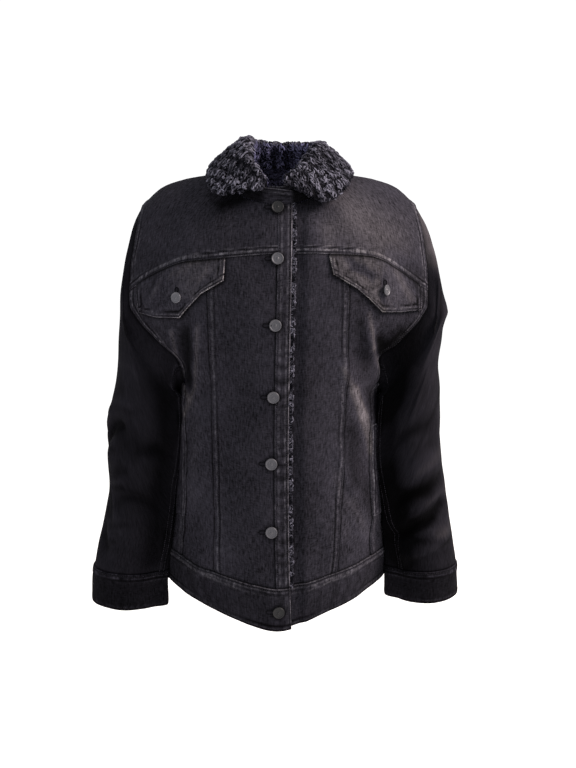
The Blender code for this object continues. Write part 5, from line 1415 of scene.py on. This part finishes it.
def scatter(points, normals, count):
    """Places spread evenly over a grid, with the ways out of the surface and across the grid there."""
    corner = points[:-1, :-1]
    down, across = points[1:, :-1] - corner, points[:-1, 1:] - corner
    area = np.linalg.norm(np.cross(down, across), axis=-1)
    total = np.cumsum(area.ravel())
    pick = np.searchsorted(total, (np.arange(count) + RANDOM.uniform(0, 1, count)) / count * total[-1])
    i, j = np.unravel_index(np.clip(pick, 0, area.size - 1), area.shape)
    a, b = RANDOM.uniform(0, 1, (2, count, 1))
    place = corner[i, j] + down[i, j] * a + across[i, j] * b
    return place, unit(normals[i, j]), unit(across[i, j])


def curl_mesh(name, place, out, across, lift=(0.0002, 0.0012), size=1.0, finish=SHERPA):
    """Worm-like loops of yarn, each an open coil that leans out of the surface."""
    count = len(place)
    along = np.cross(out, across)
    turn = RANDOM.normal(CURL_SLANT, CURL_TURN, (count, 1)) + math.pi * RANDOM.integers(0, 2, (count, 1))
    first = across * np.cos(turn) + along * np.sin(turn)
    second = np.cross(out, first)
    lean = RANDOM.uniform(*CURL_LEAN, (count, 1))
    second = second * np.cos(lean) + out * np.sin(lean)
    share = np.linspace(0, 1, CURL_POINTS)[None, :, None]
    sweep = RANDOM.uniform(*CURL_SWEEP, (count, 1, 1)) * math.pi * RANDOM.choice((-1.0, 1.0), (count, 1, 1))
    place = place + out * VALLEY * size * rumple(place / CURL_UNEVEN)[:, None]
    start = RANDOM.uniform(0, 2 * math.pi, (count, 1, 1))
    angle = start + sweep * share
    radius = size * RANDOM.uniform(*CURL_RADIUS, (count, 1, 1)) * (1 - 0.35 * share)
    path = radius * (1.6 * np.cos(angle) * first[:, None] + 0.8 * np.sin(angle) * second[:, None])
    path = path - path.mean(axis=1, keepdims=True)
    height = (path * out[:, None]).sum(axis=-1, keepdims=True)
    rise = RANDOM.uniform(*lift, (count, 1, 1)) + 0.25 * np.abs(height) - height * 0.35
    path = path + out[:, None] * rise
    tangent = unit(np.gradient(path, axis=1))
    aside = unit(np.cross(tangent, out[:, None] + 0.2 * across[:, None]))
    above = np.cross(aside, tangent)
    above_out = (above * out[:, None]).sum(axis=-1)
    yarn = size * RANDOM.uniform(*YARN_RADIUS, (count, 1, 1))
    yarn = yarn * (0.62 + 0.38 * np.sin(math.pi * share) ** 0.6)
    turns = [2 * math.pi * k / YARN_SIDES for k in range(YARN_SIDES)]
    around = [math.cos(turn) * aside + math.sin(turn) * above for turn in turns]
    points = np.stack([place[:, None] + path + yarn * way for way in around], axis=2).reshape(-1, 3)
    caps = (3, 2, 1, 0), np.arange(4) + (CURL_POINTS - 1) * YARN_SIDES
    one = np.concatenate([grid_quads(CURL_POINTS, YARN_SIDES, closed=True), caps])
    faces = repeated(one, count, CURL_POINTS * YARN_SIDES)
    level = (path * out[:, None]).sum(axis=-1)
    facing = np.array([math.sin(turn) for turn in turns])[None, None, :] * above_out[..., None]
    # Painted light and shade: lighter on the tops of the curls and the sides of the yarn facing out, darker
    # in hollows and along the collar's strokes.
    tip = np.clip(level[..., None] / TIP_HEIGHT + TIP_BASE + TIP_FACING * facing, 0, 1)
    hollow = np.clip(1 + HOLLOW * rumple(place / CURL_UNEVEN)[:, None, None], *HOLLOW_TONES)
    wash_and_shading = washed_and_shaded(COLLAR_LIGHT_AND_SHADE, place[:, 0], place[:, 2], COLLAR_LEAST)[:, None, None]
    tip = tip * RANDOM.uniform(*CURL_TONES, (count, 1, 1)) * hollow * wash_and_shading
    piece = mesh_object(name, points, faces, (finish,), tip=tip.ravel())


# The collar ------------------------------------------------------------------------------------------


def fine_collar_middle(side, away):
    """The middle of the collar's cloth, close set, with half its thickness at each point."""
    points, halves = collar_middle(side, away)
    keys = np.arange(len(points), dtype=float)
    rows = dict(key=keys, x=points[:, 0], y=points[:, 1], z=points[:, 2])
    at = np.linspace(0, keys[-1], COLLAR_ACROSS)
    return np.stack([through(rows, axis, at) for axis in "xyz"], axis=1), np.interp(at, keys, halves)


def make_collar():
    shares = [(RIGHT, away) for away in np.linspace(1, 0, COLLAR_ALONG)]
    shares += [(LEFT, away) for away in np.linspace(0, 1, COLLAR_ALONG)[1:]]
    middles, halves = (np.array(part) for part in zip(*[fine_collar_middle(*share) for share in shares]))
    leaf, inside = int(COLLAR_ACROSS * ROLL_OUT), int(COLLAR_ACROSS * ROLL_CREST)
    samples, normals = yoke_samples()
    middles[:, leaf:] = raised(middles[:, leaf:], samples, normals, halves[:, leaf:] + LEAF_CLEAR)
    facing = unit(np.cross(np.gradient(middles, axis=1), np.gradient(middles, axis=0)))
    half = len(shares) // 2
    facing = facing * np.sign(facing[half, inside, 2])
    back = np.maximum(halves - PILE, BACKING_HALF)[..., None]
    outer, inner = middles + facing * back, middles - facing * back
    sherpa_cloth("collar", outer, inner, middles)
    for name, rows, columns, count, finish in (
        ("curls_collar_R", slice(0, half + 1), slice(inside, None), CURLS_LEAF, SHERPA),
        ("curls_collar_L", slice(half, None), slice(inside, None), CURLS_LEAF, SHERPA),
        ("curls_neck", slice(None), slice(0, inside + 1), CURLS_NECK, SHERPA_INSIDE),
    ):
        spots = scatter(outer[rows, columns], facing[rows, columns], count)
        kept = apart(spots[0], CURLS_APART)
        curl_mesh(name, *(part[kept] for part in spots), finish=finish)
    edges = []
    ends = middles[:, leaf - 6 :]
    for line, within in ((middles[:, -1], middles[:, -2]), (ends[0], ends[1]), (ends[-1], ends[-2])):
        edges.append(along_line(line, unit(line - within), CURLS_PER_METRE))
    place, out, across = (np.concatenate(part) for part in zip(*edges))
    curl_mesh("curls_collar_edge", place, out, across, lift=(-0.0006, 0.0006))


def along_line(line, out, density):
    """Places along a line of points, with the ways out of it and along it."""
    length = run(line)
    count = max(3, int(length[-1] * density))
    at = np.sort(RANDOM.uniform(0, length[-1], count))
    outward = unit(read_line(at, length, out))
    way = unit(read_line(at, length, np.gradient(line, axis=0)))
    way = unit(way - outward * (way * outward).sum(axis=1, keepdims=True))
    return read_line(at, length, line), outward, way


def make_stand():
    """The denim stand, with its rounded front corner."""
    ends = (STAND_END[RIGHT], -NECK_END[RIGHT], NECK_END[LEFT], STAND_END[LEFT])
    right, middle, left = (np.linspace(*span) for span in zip(ends[:-1], ends[1:], STAND_POINTS))
    middle = np.concatenate([right[:-1], middle, left[1:]])
    up = graded(STAND_HEIGHT * 1.4)
    outer, normal = [], []
    for share in middle:
        base, centre, rise, out, _, _ = collar_frame(share)
        past = np.clip((abs(share) - CORNER_START) / (-STAND_END[RIGHT] - CORNER_START), 0, 1)
        height = STAND_REACH * np.linalg.norm(centre - base)
        height = min(height, STAND_HEIGHT) if abs(share) > CORNER_START else height
        if share < 0:
            height *= math.sqrt(1 - (CORNER_DROP * past) ** 2)
        start = 2 * GAP + STAND_WALL * max(out[2], 0)
        outer.append(base + rise * (start + (height - start) * up[:, None]))
        normal.append(np.repeat(out[None], len(up), axis=0))
    outer, normal = np.array(outer), np.array(normal)
    height, wear, uv = bordered(outer, ("plain", "bound", "plain", "bound"), 5)
    height = STAND_RELIEF * height
    outer = outer + normal * height[..., None]
    tone = 1.0
    for side, (start, fade, share) in STAND_SHADE.items():
        tone = tone * (1 - share * ease((side * outer[..., 0] - start) / fade))
    faces = (0 * height, -STAND_WALL - height)
    finish_cloth("collar_stand", outer, normal, *faces, (DENIM, DENIM), uv, STAND_WEAR * wear * tone, tone)


# Flaps, welts and buttons ----------------------------------------------------------------------------


def make_flaps():
    for side in SIDES:
        rows = FLAP_OUTLINE[side]
        across = np.unique(np.concatenate([graded(FLAP_SIZE[0]), rows["share"]]))
        _, x_top, x_low, z_low = (np.interp(across, rows["share"], column) for column in rows.values())
        z_top = yoke_seam_z(side, x_top) - FLAP_DROP
        down = graded(FLAP_SIZE[1])[:, None]
        x = x_top + (x_low - x_top) * down
        z = z_top + (z_low - z_top) * down
        base, normal, _ = on_face(side, side * x, z)
        height, wear, uv = bordered(base, ("bound", "bound", "under", "bound"), 11 + side)
        crease = creases(FLAP_CREASES[side], x, z)
        lift = LIFT + FLAP_LIFT * ease((down - 0.35) / 0.65) + crease + rumple(base)
        # Painted light and shade: from the creases, and from the strokes of the flap's table.
        tone = FLAP_TONE[side] * fold_shade(crease / FLAP_FOLD, *FLAP_FOLD_SHADE)
        tone = tone * (FLAP_NEAR - FLAP_FALL * ease((x - FLAP_MIDDLE) / FLAP_FADE))
        tone = tone * (1 + FLAP_RIPPLE * ripple(x / 0.011 + z / 0.02, 3 + side))
        tone = tone * washed_and_shaded(FLAP_LIGHT_AND_SHADE[side], x, z, FLAP_LEAST)
        over = height + lift + FLAP_THICK
        finish_cloth("flap_" + tag(side), base, normal, over, lift, (DENIM, DENIM), uv, wear, tone)


def make_welts():
    for side in SIDES:
        down = graded(WELT["z"][0] - WELT["z"][1])[:, None]
        offset = np.array(WELT_LINES)[None, :] * WELT_WIDTH - WELT_WIDTH / 2
        x = WELT["x"][0] + (WELT["x"][1] - WELT["x"][0]) * down + offset
        z = WELT["z"][0] + (WELT["z"][1] - WELT["z"][0]) * down + 0 * offset
        base, normal, _ = on_face(side, side * x + HEM_SWAY * WELT_SWAY, z)
        height, wear, uv = bordered(base, ("bound", "bound", "bound", "bound"), 21 + side)
        lift = WELT_LIFT - WELT_SINK + rumple(base)
        over = lift + WELT_THICK + WELT_RELIEF * height
        tone, wear = np.full(wear.shape, WELT_TONE[side]), WELT_WEAR[side] * wear
        finish_cloth("welt_" + tag(side), base, normal, over, lift, (DENIM, DENIM), uv, wear, tone)


def button_place(side, x, z, lift, follow=0.0):
    """A place on the front and its normal; what follows the cloth's unevenness has a share of 1."""
    base, normal, level = on_face(side, np.array([x]), np.array([z]))
    uneven = rumple(base)[0] * off_edge(side, x)
    lift = lift + follow * uneven
    lift = lift + BAND_PROUD * (level[0] < BAND)
    return base[0] + normal[0] * lift, normal[0]


def button_frame(normal):
    across = unit(np.cross(normal, (0, 0, 1.0)))
    return across, np.cross(across, normal)


def add_button(node, centre, normal, radius, finish):
    """A tack button: a rolled rim, a sunk ring and a raised dot."""
    across, upward = button_frame(normal)
    angles = np.linspace(0, 2 * math.pi, BUTTON_SIDES + 1)[:-1]
    around = np.outer(np.cos(angles), across) + np.outer(np.sin(angles), upward)
    rings = [np.repeat(centre[None], BUTTON_SIDES, axis=0)]
    for share, height in zip(BUTTON_PROFILE["radius"], BUTTON_PROFILE["height"]):
        rings.append(centre + normal * height * BUTTON_THICK + around * share * radius)
    faces = grid_quads(len(rings), BUTTON_SIDES, closed=True)
    piece = mesh_object("metal_" + node, np.concatenate(rings), faces, (finish,))
    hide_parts(node)


def add_buttonhole(name, side, x, z, lift, upright, length):
    """A keyhole buttonhole: a dark slit with an eye, and satin stitches round it."""
    centre, normal = button_place(side, x, z, lift, 1.0)
    across, upward = button_frame(normal)
    if upright:
        across, upward = upward, -across
    turn = np.linspace(0, 2 * math.pi, HOLE_POINTS + 1)[:-1]
    ahead = np.cos(turn)
    wide = HOLE_HALF * (0.25 + 0.75 * (0.5 + 0.5 * ahead))
    loop = np.outer(ahead * length / 2, across) + np.outer(np.sin(turn) * wide, upward)
    way = unit(np.outer(ahead / 2, across) + np.outer(np.sin(turn), upward))
    satin = 1 + 0.18 * np.cos(np.arange(HOLE_POINTS) * math.pi)[:, None]
    rings = []
    for share, height in SATIN_RINGS:
        rings.append(centre + loop + way * share * SATIN_WIDTH * satin + normal * height * SATIN_RISE)
    faces = grid_quads(len(rings), HOLE_POINTS, closed=True)
    edge = mesh_object(name, np.concatenate(rings), faces, (HOLE_THREAD,))
    slit = np.concatenate([[centre], centre + loop * 1.04]) + normal * 0.1 * SATIN_RISE
    spokes = np.arange(HOLE_POINTS)
    fan = np.stack([np.zeros_like(spokes), 1 + spokes, 1 + (spokes + 1) % HOLE_POINTS], axis=1)
    dark = mesh_object(name + "_slit", slit, fan, (SLIT,))


def make_buttons():
    for i, (x, z, more_lift) in enumerate(zip(*BUTTONS.values())):
        centre, normal = button_place(RIGHT, x, z, BUTTON_LIFT + more_lift - 0.0004)
        finish = DARK_METAL if i in (0, len(BUTTONS["x"]) - 1) else GUNMETAL  # the end ones are darker
        add_button("button_%d" % (i + 1), centre, normal, BUTTON_RADIUS, finish)
        hole = (x - HOLE_OFFSET, z, LAP_RISE + 0.0002, False, HOLE_LENGTH)
        add_buttonhole("buttonhole_%d" % (i + 1), RIGHT, *hole)
    for side in SIDES:
        x, z = FLAP_BUTTONS[side]
        on_flap = LIFT + FLAP_THICK + FLAP_BUTTON_LIFT
        centre, normal = button_place(side, side * x, z, on_flap + 0.0002)
        turn = BUTTON_TURN[side]
        centre = centre + normal * 0.45 * FLAP_BUTTON_RADIUS * math.sin(turn)
        turned = unit(normal * math.cos(turn) + np.cross((0, 0, 1.0), normal) * math.sin(turn))
        finish = LIGHT_METAL if side == RIGHT else GUNMETAL
        add_button("flap_button_" + tag(side), centre, turned, FLAP_BUTTON_RADIUS, finish)
        hole = (side * x, z + 0.80 * HOLE_OFFSET, on_flap - 0.0002, True, 0.75 * HOLE_LENGTH)
        add_buttonhole("buttonhole_" + tag(side), side, *hole)


# The whole jacket ------------------------------------------------------------------------------------

def make_torso():
    princess, back_princess, edge = seam_at("front", PRINCESS), seam_at("back", BACK_PRINCESS), constant(1.0)
    start = placket_edge(-PLACKET_WIDTH)
    panel_levels, yoke_levels, band_levels = (BAND, YOKE), (YOKE, TOP), (HEM, BAND)
    at_side, past_panel = ("under", "over", UNDERARM), ("under", "over", SIDE_PANEL_TOP + 0.2)
    for side in SIDES:
        inner, inner_edge = (start, "under") if side == RIGHT else (left_edge, "bound")
        name = lambda node: node + "_" + tag(side)
        top_edge = "plain" if side == RIGHT else "bound"
        for node, levels, seams, borders in (
            ("centre_front", panel_levels, (inner, princess), (inner_edge, "quiet", "under", "under")),
            ("side_front", panel_levels, (princess, side_front), ("under", past_panel, "under", "under")),
            ("side_panel", (BAND, SIDE_PANEL_TOP), (side_front, edge), ("quiet", at_side, "under", "plain")),
            ("yoke_front", yoke_levels, (inner, edge), (top_edge, "over", "over", "plain")),
        ):
            torso_cloth(name(node), side, "front", levels, seams, borders, seed=side + 2)
        front_edge = placket_edge() if side == RIGHT else left_edge
        borders = ("bound", "plain", "bound", "over")
        band = (band_levels, (front_edge, edge), borders, BAND_PROUD, 0.76, 6 + side, (0.22, 0.0230, 1))
        torso_cloth(name("waistband_front"), side, "front", *band)
        borders = ("under", at_side, "under", "under")
        torso_cloth(name("back_side"), side, "back", panel_levels, (back_princess, edge), borders)
    borders = ("quiet", "quiet", "under", "under")
    torso_cloth("back_centre", None, "back", panel_levels, (mirrored(back_princess), back_princess), borders)
    wide_seams = (mirrored(edge), edge)
    torso_cloth("yoke_back", None, "back", yoke_levels, wide_seams, ("over", "over", "over", "over"))
    borders = ("plain", "plain", "bound", "over")
    torso_cloth("waistband_back", None, "back", band_levels, wide_seams, borders, BAND_PROUD, 0.84)
    borders = ("bound", "soft", "under", "plain")
    placket = ((BAND, TOP), (placket_edge(), start), borders, 0.0003, 1.12, 9, (0.50, 0.0175, 0))
    torso_cloth("placket_R", RIGHT, "front", *placket)


def make_fringe():
    """The edge of the sherpa lining that shows past the placket, as a strip with curls."""
    rows = even_levels(lambda at: torso(RIGHT, "front", np.zeros_like(at), at), BAND, TOP)[:, None]
    offset = np.array((-0.0080, -0.0010, 0.0008, 0.0026, FRINGE_WIDTH - 0.001))[None, :]
    edge = through(PLACKET_EDGE, "x", rows) + offset
    shares = share_at(RIGHT, rows, edge)
    grid = np.broadcast_to(rows, shares.shape)
    outer = torso(RIGHT, "front", shares, grid)
    normal = torso_normal(RIGHT, "front", shares, grid)
    low = FRINGE_SINK + PILE * 0.7
    front, back = outer - normal * low, outer - normal * (FRINGE_SINK + FRINGE_THICK)
    sherpa_cloth("sherpa_edge", front, back, outer)
    place, out, way = scatter(front[:, 1:], normal[:, 1:], FRINGE_CURLS)
    line, aside = front[:, -1], unit(front[:, -1] - front[:, 0])
    tip_place, tip_out, tip_way = along_line(line, unit(aside + normal[:, -1]), FRINGE_CURLS * 0.9)
    both = (place, tip_place), (out, tip_out), (way, tip_way)
    curl_mesh("curls_placket", *(np.concatenate(parts) for parts in both), lift=(-0.0002, 0.0008), size=0.62)


def make_sleeves():
    front_seam = float(turn_of("front", SLEEVE_SEAM_LEVEL))
    back_seam = float(turn_of("back", SLEEVE_SEAM_LEVEL))
    for side in SIDES:
        stations = (0.0, float(CUFF))
        upper, under = (back_seam - 1, front_seam), (front_seam, back_seam)
        sleeve_cloth("sleeve_upper_" + tag(side), side, upper, stations, ("over", "quiet", "under", "under"))
        sleeve_cloth("sleeve_under_" + tag(side), side, under, stations, ("under", "under", "under", "under"))
        borders = ("plain", "plain", "over", "bound")
        cuff = (float(CUFF), float(SLEEVE_END))
        sleeve_cloth("cuff_" + tag(side), side, (0.5, 1.5), cuff, borders, True, BAND_PROUD)


def double(node, border, keep=(0.0, 1.0)):
    return [inset_line(node, border, distance, keep) for distance in STITCH_ROWS]


def sew_all():
    """The rows of stitches along the seams, as one mesh for each part of the jacket."""
    for side in SIDES:
        on = lambda node: node + "_" + tag(side)
        front = double(on("centre_front"), 1) + double(on("side_panel"), 0)
        front += double(on("yoke_front"), 2) + double(on("yoke_front"), 1)
        front += double(on("side_front"), 1, (0.56, 1.0)) + double(on("side_panel"), 1, (0.75, 1.0))
        front += [inset_line(on("waistband_front"), 3, 0.003), inset_line(on("waistband_front"), 2, 0.005)]
        for node in ("flap", "welt"):
            front += [inset_line(on(node), border, STITCH_ROWS[0] * 0.8) for border in (0, 1, 3)]
        front += [inset_line(on("flap"), border, STITCH_ROWS[1] * 0.8, (0.05, 0.95)) for border in (0, 1, 3)]
        sew("stitches_front_" + tag(side), front)
        arm = double(on("sleeve_upper"), 0) + double(on("sleeve_upper"), 1)
        arm += [inset_line(on("cuff"), 2, 0.003), inset_line(on("cuff"), 3, 0.006)]
        sew("stitches_sleeve_" + tag(side), arm)
    back = double("back_centre", 0) + double("back_centre", 1) + double("yoke_back", 2)
    back += double("yoke_back", 0) + double("yoke_back", 1)
    back += double("yoke_back", 3, (0.0, 0.26)) + double("yoke_back", 3, (0.74, 1.0))
    back += double("back_side_R", 1) + double("back_side_L", 1)
    back += [inset_line("waistband_back", 3, 0.003), inset_line("waistband_back", 2, 0.005)]
    sew("stitches_back", back)
    placket = [inset_line("placket_R", 1, STITCH_ROWS[0])]
    placket += [inset_line("placket_R", 0, 0.004), inset_line("collar_stand", 3, 0.003, (0.0, 0.2))]
    sew("stitches_placket", placket)


# Light and camera ------------------------------------------------------------------------------------

FLOOR = -1.15
KEY_FROM, KEY_FAR, KEY_SIZE, KEY_POWER = (0.80, -0.18, 0.57), 2.6, 1.1, 150.0
KEY_COLOUR = (1.0, 0.87, 0.80)
WORLD = 1.08
CAMERA_AT, CAMERA_DOWN, CAMERA_LENS = (0.0134, -1.55, -0.070), 9.0, 48.19


def make_stage():
    size = 30.0
    floor = bpy.data.meshes.new("floor")
    corners = [(-size, -size, FLOOR), (size, -size, FLOOR), (size, size, FLOOR), (-size, size, FLOOR)]
    floor.from_pydata(corners, [], [(0, 1, 2, 3)])
    floor.materials.append(plain_finish("floor", (0.98, 0.98, 0.98), 1.0, Specular_IOR_Level=0.0))
    floor = bpy.data.objects.new("floor", floor)
    bpy.context.scene.collection.objects.link(floor)
    world = bpy.data.worlds.new("studio")
    world.use_nodes = True
    world.node_tree.nodes["Background"].inputs["Color"].default_value = (1, 1, 1, 1)
    world.node_tree.nodes["Background"].inputs["Strength"].default_value = WORLD
    scene = bpy.context.scene
    scene.world = world
    scene.view_settings.view_transform = "Standard"
    key = bpy.data.lights.new("key", "AREA")
    key.shape, key.size, key.energy, key.color = "DISK", KEY_SIZE, KEY_POWER, KEY_COLOUR
    key = bpy.data.objects.new("key", key)
    way = unit(np.array(KEY_FROM))
    aim = np.array((0, 0, -0.3))
    key.location = aim + way * KEY_FAR
    key.rotation_euler = Vector(way).to_track_quat("Z", "Y").to_euler()
    scene.collection.objects.link(key)
    camera = bpy.data.cameras.new("camera")
    camera.lens, camera.sensor_width = CAMERA_LENS, 36.0
    camera = bpy.data.objects.new("camera", camera)
    camera.location = CAMERA_AT
    camera.rotation_euler = (math.radians(90 - CAMERA_DOWN), 0, 0)
    scene.collection.objects.link(camera)
    scene.camera = camera


make_torso()
make_fringe()
make_sleeves()
make_collar()
make_stand()
make_flaps()
make_welts()
make_buttons()
sew_all()
make_stage()
